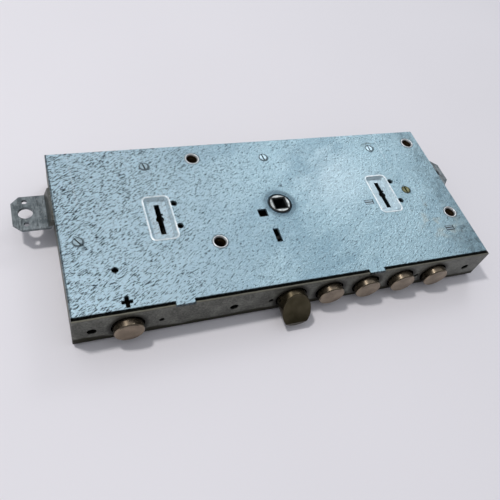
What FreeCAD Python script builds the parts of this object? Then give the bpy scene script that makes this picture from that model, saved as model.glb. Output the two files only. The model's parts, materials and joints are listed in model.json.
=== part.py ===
"""Mortise lock for a security door, built piece by piece as one parametric document.

Frame: the origin is on the handle follower's axis at the underside of the case, +X runs along the case
to the right, +Y from the front plate to the back, and +Z up to the cover. Lengths are in millimetres.
"""
import FreeCAD, Part
import math
import os
import Sketcher

# Every size that can be set by itself, as it goes into the spreadsheet: alias, value, meaning.
DIMENSIONS = [
    # Case and cover
    ("case_length", 290.0, "case, left end to right end"),
    ("case_depth", 126.3, "case, outer face of the front plate to the back"),
    ("case_height", 28.0, "case, underside to the cover's top"),
    ("sheet_tray", 2.5, "sheet of the tray"),
    ("sheet_cover", 2.0, "sheet of the cover"),
    ("bend_outer", 3.2, "outer bend radius along the tray's bottom"),
    ("bend_inner", 1.2, "inner bend radius along the tray's bottom"),
    ("cover_gap", 0.3, "gap between the front plate and the cover"),
    ("follower_from_left", 148.0, "left end to the follower's axis"),
    ("follower_from_front", 66.0, "front plate's face to the follower's axis"),
    ("tab_width", 12.0, "cover tabs that reach into the front plate"),
    ("tab_play", 0.2, "play beside each tab"),
    ("tab_left_from_left", 64.4, "left end to the middle of the left tab"),
    ("tab_right_from_left", 195.8, "left end to the middle of the right tab"),
    # Keyways
    ("key_pitch", 84.5, "follower's axis to either key's axis"),
    ("key_back", -1.0, "key axes, behind the follower's axis"),
    ("key_slot_width", 3.4, "key slot, across"),
    ("key_slot_length", 24.2, "key slot, from end to end"),
    ("key_stem_radius", 2.65, "round middle of the key slot"),
    ("key_nib", 1.0, "small side notch of the key slot"),
    ("key_sweep", 12.5, "radius that the turning key sweeps"),
    ("cup_width", 16.5, "pressed key cup, across at its lip"),
    ("cup_length", 34.0, "pressed key cup, along at its lip"),
    ("cup_corner", 3.0, "corner radius of the cup's lip"),
    ("cup_depth", 2.2, "depth of the pressed key cup"),
    ("cup_slope", 44.0, "slope of the cup's wall, degrees"),
    ("rosette_side", 11.2, "key axis to its two rosette screw holes"),
    ("rosette_back", 1.1, "middle of the two rosette holes, behind the key axis"),
    ("rosette_spacing", 18.7, "between the two rosette screw holes"),
    ("rosette_radius", 2.25, "rosette screw hole in the cover"),
    # Case fixing bushes
    ("fix_span_x", 182.5, "between the fixing bushes, along the case"),
    ("fix_span_y", 73.0, "between the fixing bushes, front to back"),
    ("fix_middle_x", 40.25, "middle of the four bushes from the follower's axis"),
    ("fix_middle_y", 11.1, "middle of the four bushes from the follower's axis"),
    ("fix_bore", 3.4, "tapped bore of a fixing bush"),
    ("fix_neck", 5.1, "neck of a fixing bush in the cover"),
    ("fix_body", 6.2, "body of a fixing bush under the cover"),
    ("fix_flare", 0.3, "how far a bush stands proud of the cover"),
    # Screws and pillars
    ("pillar_radius", 3.6, "cover pillar"),
    ("screw_head", 3.1, "countersunk cover screw head"),
    ("screw_shank", 1.6, "cover screw shank"),
    ("screw_length", 9.0, "cover screw, head to end"),
    ("screw_slot", 0.9, "driver slot across a screw head"),
    ("pack_screw_head", 3.5, "lever pack screw head"),
    ("pack_x", 105.1, "lever pack screw from the follower's axis"),
    ("pack_y", 0.1, "lever pack screw from the follower's axis"),
    # Front plate
    ("bolt_axis_z", 14.0, "height of every bolt's axis"),
    ("bolt_radius", 9.0, "deadbolt"),
    ("bolt_hole", 10.0, "deadbolt hole in the front plate"),
    ("bolt_length", 39.0, "deadbolt"),
    ("bolt_proud", 5.0, "deadbolt in front of the front plate when drawn back"),
    ("bolt_chamfer", 0.7, "edge of a deadbolt's nose"),
    ("bolt_first_x", 16.0, "first deadbolt from the follower's axis"),
    ("bolt_pitch", 28.0, "between deadbolts"),
    ("service_bolt_x", -116.7, "service deadbolt from the follower's axis"),
    ("latch_x", -12.0, "latch bolt from the follower's axis"),
    ("latch_radius", 10.0, "latch bolt"),
    ("latch_hole", 10.7, "latch hole in the front plate"),
    ("latch_proud", 15.3, "latch bolt in front of the front plate"),
    ("latch_shoulder", 3.7, "straight part of the latch in front of the front plate"),
    ("latch_nose", 3.3, "height of the blunt edge of the latch's nose"),
    ("latch_body", 37.3, "latch bolt without its rod"),
    ("latch_rod", 3.0, "latch rod radius"),
    ("front_screw_radius", 2.8, "large screw holes of the front plate"),
    ("front_pin_radius", 1.7, "small holes of the front plate"),
    # Follower
    ("spindle", 8.0, "square spindle hole"),
    ("hub_radius", 7.92, "follower hub journal"),
    ("hub_bore", 8.0, "follower bearing holes in tray and cover"),
    ("arm_reach", 16.5, "follower axis to the arm's round tip"),
    ("arm_tip", 2.5, "radius of the arm's tip"),
    ("arm_shaft", 1.6, "half width of the arm behind its tip"),
    ("arm_rest", 24.0, "arm angle in front of the X axis at rest, degrees"),
    ("arm_low", 17.6, "underside of the arm"),
    ("arm_thick", 4.0, "thickness of the arm"),
    ("follower_dish", 11.8, "shallow dish in the cover round the follower"),
    # Bolt work
    ("throw", 24.0, "travel of the bolts"),
    ("rod_travel", 18.0, "travel of the rods"),
    ("carriage_low", 17.5, "underside of the carriages"),
    ("carriage_sheet", 2.5, "sheet of the carriages"),
    ("slot_play", 0.2, "play each side of a pin in its slot"),
    ("post_radius", 3.0, "carriage guide post"),
    ("cam_pin", 3.0, "cam pin radius"),
    ("cam_y", 22.2, "rod line and cam pins behind the follower's axis"),
    ("cam_middle_x", 47.0, "middle between the cam pins"),
    ("cam_half", 10.0, "cam pins, each side of that middle"),
    ("rod_width", 12.0, "rod slide, across"),
    ("rod_sheet", 2.0, "rod slide and bracket sheet"),
    ("rod_low", 20.3, "underside of the rod slides"),
    ("rod_post", 2.5, "rod guide post"),
    ("bracket_width", 26.5, "rod bracket, across"),
    ("bracket_plate", 20.4, "rod bracket plate, web to outer end"),
    ("bracket_step", 7.1, "drop from the flange's top to the plate's top"),
    ("bracket_lean", 2.3, "lean of the bracket's web"),
    ("bracket_inside", 19.8, "bracket flange, web to inner end"),
    ("bracket_chamfer", 5.0, "corner chamfers of the bracket plate"),
    ("bracket_hole", 4.5, "large hole of the bracket plate"),
    ("bracket_small", 1.75, "small holes of the bracket plate"),
    ("bracket_hole_in", 8.1, "bracket holes, in from the outer end"),
    ("bracket_spacing", 18.0, "between the small bracket holes"),
    ("left_reach", 24.2, "left bracket beyond the case when drawn in"),
    ("right_reach", 17.0, "right bracket beyond the case when drawn in"),
    # Lever packs
    ("lever_low", 4.0, "underside of the lowest lever"),
    ("lever_thick", 1.8, "lever"),
    ("lever_pitch", 2.1, "lever to lever"),
    ("lever_travel", 1.5, "lever travel each way"),
    ("lever_half", 16.0, "half the width of a lever, front to back"),
    ("lever_wall", 4.0, "lever in front of its stump window"),
    ("stump_radius", 2.5, "stump radius"),
    ("guide_pin", 2.0, "lever guide pin radius"),
]

doc = FreeCAD.newDocument("mortise_lock")
sheet = doc.addObject("Spreadsheet::Sheet", "Dims")
for row, (alias, number, meaning) in enumerate(DIMENSIONS, start=1):
    sheet.set("A%d" % row, meaning)
    sheet.set("B%d" % row, str(number))
    sheet.setAlias("B%d" % row, alias)
doc.recompute()


class Size:
    """A length that knows its present value and the spreadsheet expression that drives it."""

    def __init__(self, value, text):
        self.value = float(value)
        self.text = text

    def __add__(self, other):
        other = size(other)
        return Size(self.value + other.value, "(%s + %s)" % (self.text, other.text))

    def __sub__(self, other):
        other = size(other)
        return Size(self.value - other.value, "(%s - %s)" % (self.text, other.text))

    def __mul__(self, other):
        other = size(other)
        return Size(self.value * other.value, "(%s * %s)" % (self.text, other.text))

    def __truediv__(self, other):
        other = size(other)
        return Size(self.value / other.value, "(%s / %s)" % (self.text, other.text))

    def __neg__(self):
        return Size(-self.value, "(0 - %s)" % self.text)

    def __radd__(self, other):
        return size(other) + self

    def __rsub__(self, other):
        return size(other) - self

    def __rmul__(self, other):
        return size(other) * self


def size(number):
    """A Size from a Size or from a plain number."""
    if isinstance(number, Size):
        return number
    return Size(number, "(%.6f)" % number)


def sine(degrees):
    """Sine of an angle Size in degrees."""
    return Size(math.sin(math.radians(degrees.value)), "sin(%s * 1 deg)" % degrees.text)


def cosine(degrees):
    """Cosine of an angle Size in degrees."""
    return Size(math.cos(math.radians(degrees.value)), "cos(%s * 1 deg)" % degrees.text)


def root(number):
    """Square root of a Size."""
    return Size(math.sqrt(number.value), "sqrt(%s)" % number.text)


class Dimensions:
    """The spreadsheet's cells as Size attributes."""

    def __init__(self):
        for alias, _, _ in DIMENSIONS:
            setattr(self, alias, Size(sheet.get(alias), "Dims.%s" % alias))


d = Dimensions()
NODES = {}


def bind(thing, prop, number):
    """Drive a property of an object by a Size."""
    thing.setExpression(prop, size(number).text)


# ---------------------------------------------------------------- Part primitives

def block(name, across, along, up):
    """A Part::Box from (low, high) pairs along X, Y and Z."""
    box = doc.addObject("Part::Box", name)
    spans = (across, along, up)
    for prop, (low, high) in zip(("Length", "Width", "Height"), spans):
        bind(box, prop, size(high) - size(low))
    for axis, (low, _) in zip("xyz", spans):
        bind(box, "Placement.Base." + axis, low)
    return box


TURN = {"z": FreeCAD.Rotation(), "y": FreeCAD.Rotation(FreeCAD.Vector(1, 0, 0), -90)}


def place(thing, at, rotation=None):
    """Put an object at three Sizes, turned by a fixed rotation."""
    thing.Placement = FreeCAD.Placement(FreeCAD.Vector(), rotation or FreeCAD.Rotation())
    for axis, number in zip("xyz", at):
        bind(thing, "Placement.Base." + axis, number)
    return thing


def drum(name, at, radius, length, along="z"):
    """A Part::Cylinder that starts at a point and runs along +Z or +Y."""
    cylinder = doc.addObject("Part::Cylinder", name)
    bind(cylinder, "Radius", radius)
    bind(cylinder, "Height", length)
    return place(cylinder, at, TURN[along])


def fuse(name, pieces):
    """One solid from several that touch."""
    union = doc.addObject("Part::MultiFuse", name)
    union.Shapes = pieces
    union.Refine = True
    return union


def cut(name, base, tools):
    """A solid with one or more tools taken out of it."""
    result = doc.addObject("Part::Cut", name)
    result.Base = base
    result.Tool = tools[0] if len(tools) == 1 else fuse(name + "_tools", tools)
    return result


def group(name, pieces):
    """Separate identical solids in one node."""
    compound = doc.addObject("Part::Compound", name)
    compound.Links = pieces
    return compound


def node(label, thing):
    """Register a finished sub-part under the name of its file."""
    thing.Label = label
    NODES[label] = thing
    return thing


# ---------------------------------------------------------------- sketches and bodies

def vector(point):
    """A sketch point from two Sizes."""
    return FreeCAD.Vector(size(point[0]).value, size(point[1]).value, 0)


def pin_point(sketch, geometry, position, point):
    """Hold a sketch point at two Sizes from the sketch's origin."""
    for kind, number in zip(("DistanceX", "DistanceY"), point):
        number = size(number)
        rule = Sketcher.Constraint(kind, -1, 1, geometry, position, number.value)
        index = sketch.addConstraint(rule)
        sketch.setExpression("Constraints[%d]" % index, number.text)


def pin_radius(sketch, geometry, radius):
    """Hold an arc's or circle's radius at a Size."""
    radius = size(radius)
    index = sketch.addConstraint(Sketcher.Constraint("Radius", geometry, radius.value))
    sketch.setExpression("Constraints[%d]" % index, radius.text)


def polygon(sketch, points):
    """A closed outline of straight lines through the points."""
    first = sketch.GeometryCount
    count = len(points)
    for i in range(count):
        sketch.addGeometry(Part.LineSegment(vector(points[i]), vector(points[(i + 1) % count])), False)
    for i in range(count):
        sketch.addConstraint(Sketcher.Constraint("Coincident", first + i, 2, first + (i + 1) % count, 1))
    for i in range(count):
        pin_point(sketch, first + i, 1, points[i])


def rectangle(sketch, across, along):
    """An upright rectangle from two (low, high) pairs."""
    (x_low, x_high), (y_low, y_high) = across, along
    polygon(sketch, [(x_low, y_low), (x_high, y_low), (x_high, y_high), (x_low, y_high)])


def circle(sketch, centre, radius):
    """A circle held at its centre and radius."""
    index = sketch.GeometryCount
    sketch.addGeometry(Part.Circle(vector(centre), FreeCAD.Vector(0, 0, 1), size(radius).value), False)
    pin_point(sketch, index, 3, centre)
    pin_radius(sketch, index, radius)


def rounded(sketch, centres, radius):
    """A closed outline of arcs about the centres, taken anticlockwise, joined by tangent lines."""
    first = sketch.GeometryCount
    count = len(centres)
    radius = size(radius)
    middles = [vector(centre) for centre in centres]
    headings = []
    for i in range(count):
        step = middles[(i + 1) % count] - middles[i]
        headings.append(math.atan2(step.y, step.x))
    for i in range(count):
        ring = Part.Circle(middles[i], FreeCAD.Vector(0, 0, 1), radius.value)
        start = headings[i - 1] - math.pi / 2
        turn = (headings[i] - headings[i - 1]) % (2 * math.pi)
        sketch.addGeometry(Part.ArcOfCircle(ring, start, start + turn), False)
    for i in range(count):
        side = FreeCAD.Vector(math.sin(headings[i]), -math.cos(headings[i]), 0) * radius.value
        line = Part.LineSegment(middles[i] + side, middles[(i + 1) % count] + side)
        sketch.addGeometry(line, False)
    for i in range(count):
        line = first + count + i
        sketch.addConstraint(Sketcher.Constraint("Tangent", first + i, 2, line, 1))
        sketch.addConstraint(Sketcher.Constraint("Tangent", line, 2, first + (i + 1) % count, 1))
    for i in range(count):
        pin_point(sketch, first + i, 3, centres[i])
    pin_radius(sketch, first, radius)
    for i in range(1, count):
        if count == 2:
            sketch.addConstraint(Sketcher.Constraint("Equal", first, first + i))
        else:
            pin_radius(sketch, first + i, radius)


def slot(sketch, start, end, radius):
    """A slot with round ends, from centre to centre."""
    rounded(sketch, [start, end], radius)


def rounded_rectangle(sketch, across, along, radius):
    """A rectangle with rounded corners from two (low, high) pairs."""
    left, right = across[0] + radius, across[1] - radius
    front, back = along[0] + radius, along[1] - radius
    rounded(sketch, [(left, front), (right, front), (right, back), (left, back)], radius)


class Sheet:
    """A PartDesign body built from sketches on planes parallel to its own origin planes."""

    def __init__(self, name):
        self.name = name
        self.body = doc.addObject("PartDesign::Body", name)
        self.body.Label = name
        self.steps = 0

    def sketch(self, role, offset, draw):
        """A sketch on an origin plane, moved along the plane's normal and filled by a function."""
        self.steps += 1
        drawn = self.body.newObject("Sketcher::SketchObject", "%s_sketch_%d" % (self.name, self.steps))
        plane = [item for item in self.body.Origin.OriginFeatures if item.Role == role][0]
        drawn.AttachmentSupport = (plane, "")
        drawn.MapMode = "FlatFace"
        bind(drawn, "AttachmentOffset.Base.z", offset)
        draw(drawn)
        return drawn

    def feature(self, kind, profile):
        """A feature of the body with its profile sketch."""
        made = self.body.newObject("PartDesign::" + kind, "%s_%s_%d" % (self.name, kind.lower(), self.steps))
        made.Profile = profile
        profile.Visibility = False
        return made

    def pad(self, role, offset, length, draw, back=False, taper=0.0):
        """Add material from a sketch."""
        pad = self.feature("Pad", self.sketch(role, offset, draw))
        bind(pad, "Length", length)
        pad.Reversed = back
        pad.TaperAngle = taper
        return pad

    def pocket(self, role, offset, depth, draw, back=False, taper=0.0):
        """Take material away, and make sure that the pocket did."""
        doc.recompute()
        before = self.body.Shape.Volume
        pocket = self.feature("Pocket", self.sketch(role, offset, draw))
        bind(pocket, "Length", depth)
        pocket.Reversed = back
        if isinstance(taper, Size):
            bind(pocket, "TaperAngle", taper)
        doc.recompute()
        if self.body.Shape.Volume > before - 1e-6:
            raise RuntimeError("%s cuts nothing" % pocket.Name)
        return pocket

    def turn(self, role, draw):
        """Turn a half profile a full circle about the sketch's upright axis."""
        profile = self.sketch(role, 0, draw)
        turned = self.feature("Revolution", profile)
        turned.ReferenceAxis = (profile, ["V_Axis"])
        turned.Angle = 360
        return turned

    def soften(self, radius, chosen):
        """Fillet the edges of the body's present shape that a test picks."""
        doc.recompute()
        base = self.body.Tip
        names = ["Edge%d" % (i + 1) for i, edge in enumerate(base.Shape.Edges) if chosen(edge)]
        self.steps += 1
        fillet = self.body.newObject("PartDesign::Fillet", "%s_fillet_%d" % (self.name, self.steps))
        fillet.Base = (base, names)
        bind(fillet, "Radius", radius)
        return fillet


def turned(name, profile, at, along="z"):
    """A turned piece: (radius, distance) points from the axis, standing at a point along +Z or +Y."""
    piece = Sheet(name)
    role = "XZ_Plane" if along == "z" else "XY_Plane"
    piece.turn(role, lambda drawn: polygon(drawn, profile))
    place(piece.body, at)
    return piece


def flat(name, low, thick, draw):
    """A flat plate cut to an outline, from its underside up."""
    plate = Sheet(name)
    plate.pad("XY_Plane", low, thick, draw)
    return plate


def level(edge, height):
    """True for an edge that lies flat at a height."""
    return all(abs(vertex.Z - height) < 1e-4 for vertex in edge.Vertexes)


# ---------------------------------------------------------------- places worked out from the sizes

left = -d.follower_from_left
right = d.case_length - d.follower_from_left
front = -d.follower_from_front
back = d.case_depth - d.follower_from_front
floor = d.sheet_tray
cover_low = d.case_height - d.sheet_cover
top = d.case_height
front_inner = front + d.sheet_tray
bolt_rear = front - d.bolt_proud + d.bolt_length
carriage_top = d.carriage_low + d.carriage_sheet
rod_top = d.rod_low + d.rod_sheet
MAIN_BOLTS = 4
MAIN_LEVERS = 5
SERVICE_LEVERS = 4
# Main stump, bolts drawn back: the levers keep a wall in front of their windows at full throw.
stump_y = d.key_back - d.lever_half + d.lever_wall + 0.5 + d.stump_radius + d.throw
bolt_places = [d.bolt_first_x + d.bolt_pitch * i for i in range(MAIN_BOLTS)]
last_bolt = bolt_places[-1]
key_places = {"service": -d.key_pitch, "main": d.key_pitch}
fix_places = [(d.fix_middle_x + d.fix_span_x * sx / 2, d.fix_middle_y + d.fix_span_y * sy / 2)
              for sx in (-1, 1) for sy in (-1, 1)]
tab_places = [left + d.tab_left_from_left, left + d.tab_right_from_left]
# Cover screws: near the left end, and three along the back edge.
screw_places = [(left + 10.8, -12.4), (left + 62.0, back - 16.4), (size(2.2), back - 16.2),
                (right - 48.0, back - 15.3)]
SLOT_ANGLES = (34.0, 10.0, 6.0, 2.0)        # driver slots of those screws as tightened
# Holes of the front plate: distances from the left end.
front_screw_places = [left + 10.7, left + 96.9, right - 13.0]
front_pin_places = [left + 51.2, left + 121.9, left + 233.8]
SPACER_TENON = (-19.2, 27.0)      # from the right end and from the front plate's face
CAGE_TENON = (-15.7, -6.8)        # from the main key's axis
TENON_SIZE = (6.2, 3.2)
tenons = [(d.key_pitch + CAGE_TENON[0], d.key_back + CAGE_TENON[1]),
          (right + SPACER_TENON[0], front + SPACER_TENON[1])]


# ---------------------------------------------------------------- case

def case_tray():
    """Folded tray: floor, low side and back walls, and the taller front plate with its holes."""
    tray = Sheet("case_tray")
    tray.pad("XY_Plane", 0, cover_low, lambda s: rectangle(s, (left, right), (front, back)))
    tray.pad("XY_Plane", cover_low, d.sheet_cover,
             lambda s: rectangle(s, (left, right), (front, front_inner)))
    tray.soften(d.bend_outer, lambda edge: level(edge, 0.0))
    inside = (left + floor, right - floor)
    tray.pocket("XY_Plane", cover_low, cover_low - floor,
                lambda s: rectangle(s, inside, (front_inner, back - floor)))
    tray.soften(d.bend_inner, lambda edge: level(edge, floor.value))

    def front_holes(drawn):
        for x in bolt_places + [d.service_bolt_x]:
            circle(drawn, (x, d.bolt_axis_z), d.bolt_hole)
        circle(drawn, (d.latch_x, d.bolt_axis_z), d.latch_hole)
        for x in front_screw_places:
            circle(drawn, (x, d.bolt_axis_z), d.front_screw_radius)
        for x in front_pin_places:
            circle(drawn, (x, d.bolt_axis_z), d.front_pin_radius)
        for x in tab_places:
            half = d.tab_width / 2 + d.tab_play
            rectangle(drawn, (x - half, x + half), (cover_low, top + 1))

    tray.pocket("XZ_Plane", -front, floor, front_holes)
    notch_low = d.rod_low - d.bracket_step + d.rod_sheet - 2.0
    half = d.bracket_width / 2 + 0.6

    def rod_notch(drawn):
        rectangle(drawn, (d.cam_y - half, d.cam_y + half), (notch_low, cover_low + 1))

    tray.pocket("YZ_Plane", left + floor, floor, rod_notch)
    tray.pocket("YZ_Plane", right, floor, rod_notch)
    tray.pocket("XY_Plane", floor, floor, lambda s: circle(s, (0, 0), d.hub_bore))
    node("case_tray", tray.body)


def cover_plate():
    """Flat cover with two front tabs, two pressed key cups and its holes."""
    cover = Sheet("cover_plate")
    edge = front_inner + d.cover_gap

    def outline(drawn):
        points = [(left, edge)]
        for x in tab_places:
            half = d.tab_width / 2
            points += [(x - half, edge), (x - half, front), (x + half, front), (x + half, edge)]
        points += [(right, edge), (right, back), (left, back)]
        polygon(drawn, points)

    cover.pad("XY_Plane", cover_low, d.sheet_cover, outline)
    for x in key_places.values():
        half_x = d.cup_width / 2
        half_y = d.cup_length / 2

        def lip(drawn, grow):
            across = (x - half_x - grow, x + half_x + grow)
            along = (d.key_back - half_y - grow, d.key_back + half_y + grow)
            rounded_rectangle(drawn, across, along, d.cup_corner + grow)

        cup = cover.pad("XY_Plane", cover_low + 0.01, d.cup_depth + 0.01,
                        lambda s: lip(s, size(0.3)), back=True)
        bind(cup, "TaperAngle", -d.cup_slope)
        cover.pocket("XY_Plane", top, d.cup_depth, lambda s: lip(s, size(0)), taper=-d.cup_slope)

    def key_slots(drawn):
        for x in key_places.values():
            wide = d.key_slot_width / 2
            reach = d.key_slot_length / 2
            y = d.key_back
            stem = root(d.key_stem_radius * d.key_stem_radius - wide * wide)
            nib = (y + stem + 0.8, y + stem + 2.4)
            polygon(drawn, [(x - wide, y - reach), (x + wide, y - reach), (x + wide, nib[0]),
                            (x + wide + d.key_nib, nib[0]), (x + wide + d.key_nib, nib[1]),
                            (x + wide, nib[1]), (x + wide, y + reach), (x - wide, y + reach)])

    cover.pocket("XY_Plane", top, d.cup_depth + d.sheet_cover + 1, key_slots)

    def key_stems(drawn):
        for x in key_places.values():
            circle(drawn, (x, d.key_back), d.key_stem_radius)

    cover.pocket("XY_Plane", top, d.cup_depth + d.sheet_cover + 1, key_stems)
    cover.pocket("XY_Plane", top, 0.4, lambda s: circle(s, (0, 0), d.follower_dish), taper=size(-78))

    def holes(drawn):
        circle(drawn, (0, 0), d.hub_bore)
        for place_xy in fix_places:
            circle(drawn, place_xy, d.fix_neck + 0.1)
        for x, y in screw_places:
            circle(drawn, (x, y), d.screw_shank + 0.35)
        circle(drawn, (d.pack_x, d.pack_y), d.screw_shank + 0.75)
        for x in key_places.values():
            for side in (-1, 1):
                y = d.key_back + d.rosette_back + d.rosette_spacing * side / 2
                circle(drawn, (x + d.rosette_side, y), d.rosette_radius)
        circle(drawn, (d.service_bolt_x - 2.6, front + 30.1), 2.2)
        for x, y in tenons:
            half_x, half_y = TENON_SIZE[0] / 2 + 0.15, TENON_SIZE[1] / 2 + 0.15
            rectangle(drawn, (x - half_x, x + half_x), (y - half_y, y + half_y))
        # Window over the tip of the follower's arm, and slot over the latch spring.
        arm_x = -d.arm_reach * cosine(d.arm_rest)
        arm_y = -d.arm_reach * sine(d.arm_rest)
        rectangle(drawn, (arm_x - 3.3, arm_x + 3.3), (arm_y - 3.1, arm_y + 3.4))
        rectangle(drawn, (d.latch_x - 1.0, d.latch_x + 3.1), (front + 34.4, front + 45.4))
        # Plus-shaped pinning hole over the service bolt.
        x, y = d.service_bolt_x + 0.4, front + 7.7
        arm, reach_x, reach_y = 1.25, 3.35, 4.0
        polygon(drawn, [(x - arm, y - reach_y), (x + arm, y - reach_y), (x + arm, y - arm),
                        (x + reach_x, y - arm), (x + reach_x, y + arm), (x + arm, y + arm),
                        (x + arm, y + reach_y), (x - arm, y + reach_y), (x - arm, y + arm),
                        (x - reach_x, y + arm), (x - reach_x, y - arm), (x - arm, y - arm)])

    cover.pocket("XY_Plane", top, d.sheet_cover + 1, holes)

    def countersinks(drawn):
        for x, y in screw_places:
            circle(drawn, (x, y), d.screw_head + 0.05)

    cover.pocket("XY_Plane", top, 1.2, countersinks, taper=size(-45))
    cover.pocket("XY_Plane", top, 1.2, lambda s: circle(s, (d.pack_x, d.pack_y), d.pack_screw_head + 0.05),
                 taper=size(-45))
    cover.pocket("XY_Plane", top, 0.4, lambda s: circle(s, (d.pack_x - 3.1, d.pack_y + 9.1), 1.0))
    node("cover_plate", cover.body)


def slotted(screw, head, depth, degrees=0.0):
    """Cut the driver slot across a turned screw's head, whose face is at height zero, at an angle to Y."""
    across, along = cosine(size(degrees)), sine(size(degrees))
    half, reach = d.screw_slot / 2, head + 1
    corners = [(across * half * u - along * reach * v, along * half * u + across * reach * v)
               for u, v in ((-1, -1), (1, -1), (1, 1), (-1, 1))]
    screw.pocket("XY_Plane", 0, depth, lambda s: polygon(s, corners))


def screw_profile(head, shank, length):
    """Half profile of a countersunk screw, face at zero and pointing down."""
    cone = head - shank
    return [(0, 0), (head, 0), (shank, -cone), (shank, -length), (0, -length)]


def case_fasteners():
    """Fixing bushes, cover pillars and every cover screw."""
    bushes = []
    for i, (x, y) in enumerate(fix_places):
        flare = d.fix_neck - 0.35
        profile = [(d.fix_bore, floor), (d.fix_body, floor), (d.fix_body, cover_low), (d.fix_neck, cover_low),
                   (d.fix_neck, top + d.fix_flare), (flare, top + d.fix_flare),
                   (d.fix_bore, top + d.fix_flare - (flare - d.fix_bore))]
        bushes.append(turned("fixing_bush_%d" % (i + 1), profile, (x, y, 0)).body)
    node("mounting_bushes", group("bush_group", bushes))
    pillars = []
    screws = []
    bore = d.screw_shank + 0.05
    for i, (x, y) in enumerate(screw_places):
        bottom = cover_low - 10.5
        profile = [(0, floor), (d.pillar_radius, floor), (d.pillar_radius, cover_low), (bore, cover_low),
                   (bore, bottom), (0, bottom)]
        pillars.append(turned("pillar_%d" % (i + 1), profile, (x, y, 0)).body)
        profile = screw_profile(d.screw_head, d.screw_shank, d.screw_length)
        screw = turned("screw_%d" % (i + 1), profile, (x, y, top))
        slotted(screw, d.screw_head, 0.8, SLOT_ANGLES[i])
        screws.append(screw.body)
    node("cover_pillars", group("pillar_group", pillars))
    node("cover_screws", group("screw_group", screws))
    thick = d.screw_shank + 0.4
    bore = thick + 0.05
    waist = d.lever_low + d.lever_pitch * MAIN_LEVERS
    profile = [(0, floor), (d.guide_pin, floor), (d.guide_pin, waist), (d.post_radius, waist),
               (d.post_radius, cover_low), (bore, cover_low), (bore, cover_low - 9), (0, cover_low - 9)]
    node("lever_pack_pillar", turned("pack_pillar", profile, (d.pack_x, d.pack_y, 0)).body)
    screw = turned("pack_screw", screw_profile(d.pack_screw_head, thick, d.screw_length),
                   (d.pack_x, d.pack_y, top))
    slotted(screw, d.pack_screw_head, 0.8)
    node("lever_pack_screw", screw.body)


def corner_spacer():
    """Bent strip that holds the cover's front right corner, with a tenon up through the cover."""
    x, y = tenons[1]
    half_x, half_y = TENON_SIZE[0] / 2, TENON_SIZE[1] / 2
    wall = block("spacer_wall", (x - 7, x + 7), (y - half_y, y + half_y), (floor, cover_low))
    foot = block("spacer_foot", (x - 7, x + 7), (y - half_y, y + 5), (floor, floor + 2.5))
    tenon = block("spacer_tenon", (x - half_x, x + half_x), (y - half_y, y + half_y),
                  (cover_low - 1, top - 0.05))
    crease = block("spacer_crease", (x - half_x - 1, x + half_x + 1), (y - 0.35, y + 0.35),
                   (top - 0.6, top + 1))
    node("corner_spacer", cut("spacer", fuse("spacer_body", [wall, foot, tenon]), [crease]))


# ---------------------------------------------------------------- bolts and latch

def bolt(name, x):
    """Round deadbolt with a chamfered nose and a tapped hole for its fixing screw."""
    r, edge = d.bolt_radius, d.bolt_chamfer
    length = d.bolt_length
    profile = [(0, 0), (r - edge, 0), (r, edge), (r, length), (2.55, length), (2.55, length - 13),
               (0, length - 13)]
    node(name, turned(name + "_body", profile, (x, front - d.bolt_proud, d.bolt_axis_z), "y").body)


def bolt_screw(name, x):
    """Screw that holds a deadbolt to the front flange of its carriage."""
    rear = bolt_rear + d.carriage_sheet
    profile = [(0, -12), (2.5, -12), (2.5, 0), (3.3, 0), (3.3, 2.4), (0, 2.4)]
    screw = turned(name, profile, (x, rear, d.bolt_axis_z), "y")
    screw.pocket("XZ_Plane", -2.4, 1.0, lambda s: rectangle(s, (-0.6, 0.6), (-6, 6)), back=True)
    return screw.body


def deadbolts():
    """Four main deadbolts, the service deadbolt, and their fixing screws."""
    for i, x in enumerate(bolt_places):
        bolt("deadbolt_%d" % (i + 1), x)
    bolt("service_deadbolt", d.service_bolt_x)
    screws = [bolt_screw("bolt_screw_%d" % (i + 1), x) for i, x in enumerate(bolt_places)]
    node("main_bolt_screws", group("bolt_screw_group", screws))
    node("service_bolt_screw", bolt_screw("service_screw", d.service_bolt_x))


latch_tip = front - d.latch_proud
latch_rear = latch_tip + d.latch_body
arm_y = -d.arm_reach * sine(d.arm_rest)
lug_front = arm_y + d.arm_tip + 0.3
LUG_THICK = 4.0
BRACKET_Y = 41.8                 # rod bracket of the latch, behind the front plate's face


def latch():
    """Round latch bolt with its bevelled nose, its rod and the lug that the follower's arm pushes."""
    x, z, r = d.latch_x, d.bolt_axis_z, d.latch_radius
    body = drum("latch_round", (x, latch_tip, z), r, d.latch_body, "y")
    wedge = Sheet("latch_wedge")

    def bevel(drawn):
        nose = z - r + d.latch_nose
        shoulder = front - d.latch_shoulder
        polygon(drawn, [(latch_tip, nose), (shoulder, z + r), (shoulder, z + r + 1),
                        (latch_tip - 1, z + r + 1),
                        (latch_tip - 1, nose)])

    wedge.pad("YZ_Plane", x - r - 1, r * 2 + 2, bevel)
    nose = cut("latch_nose", body, [wedge.body])
    rod = drum("latch_rod", (x, latch_rear - 1, z), d.latch_rod, lug_front + LUG_THICK - latch_rear + 1, "y")
    depth = (lug_front, lug_front + LUG_THICK)
    shoe = block("latch_shoe", (x - 7, -d.hub_radius - 1.3), depth, (z - d.latch_rod, d.arm_low - 0.3))
    lug = block("latch_lug", (x - 7, x - 1.2), depth, (z - d.latch_rod, d.arm_low + d.arm_thick))
    node("latch_bolt", fuse("latch", [nose, rod, shoe, lug]))


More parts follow.
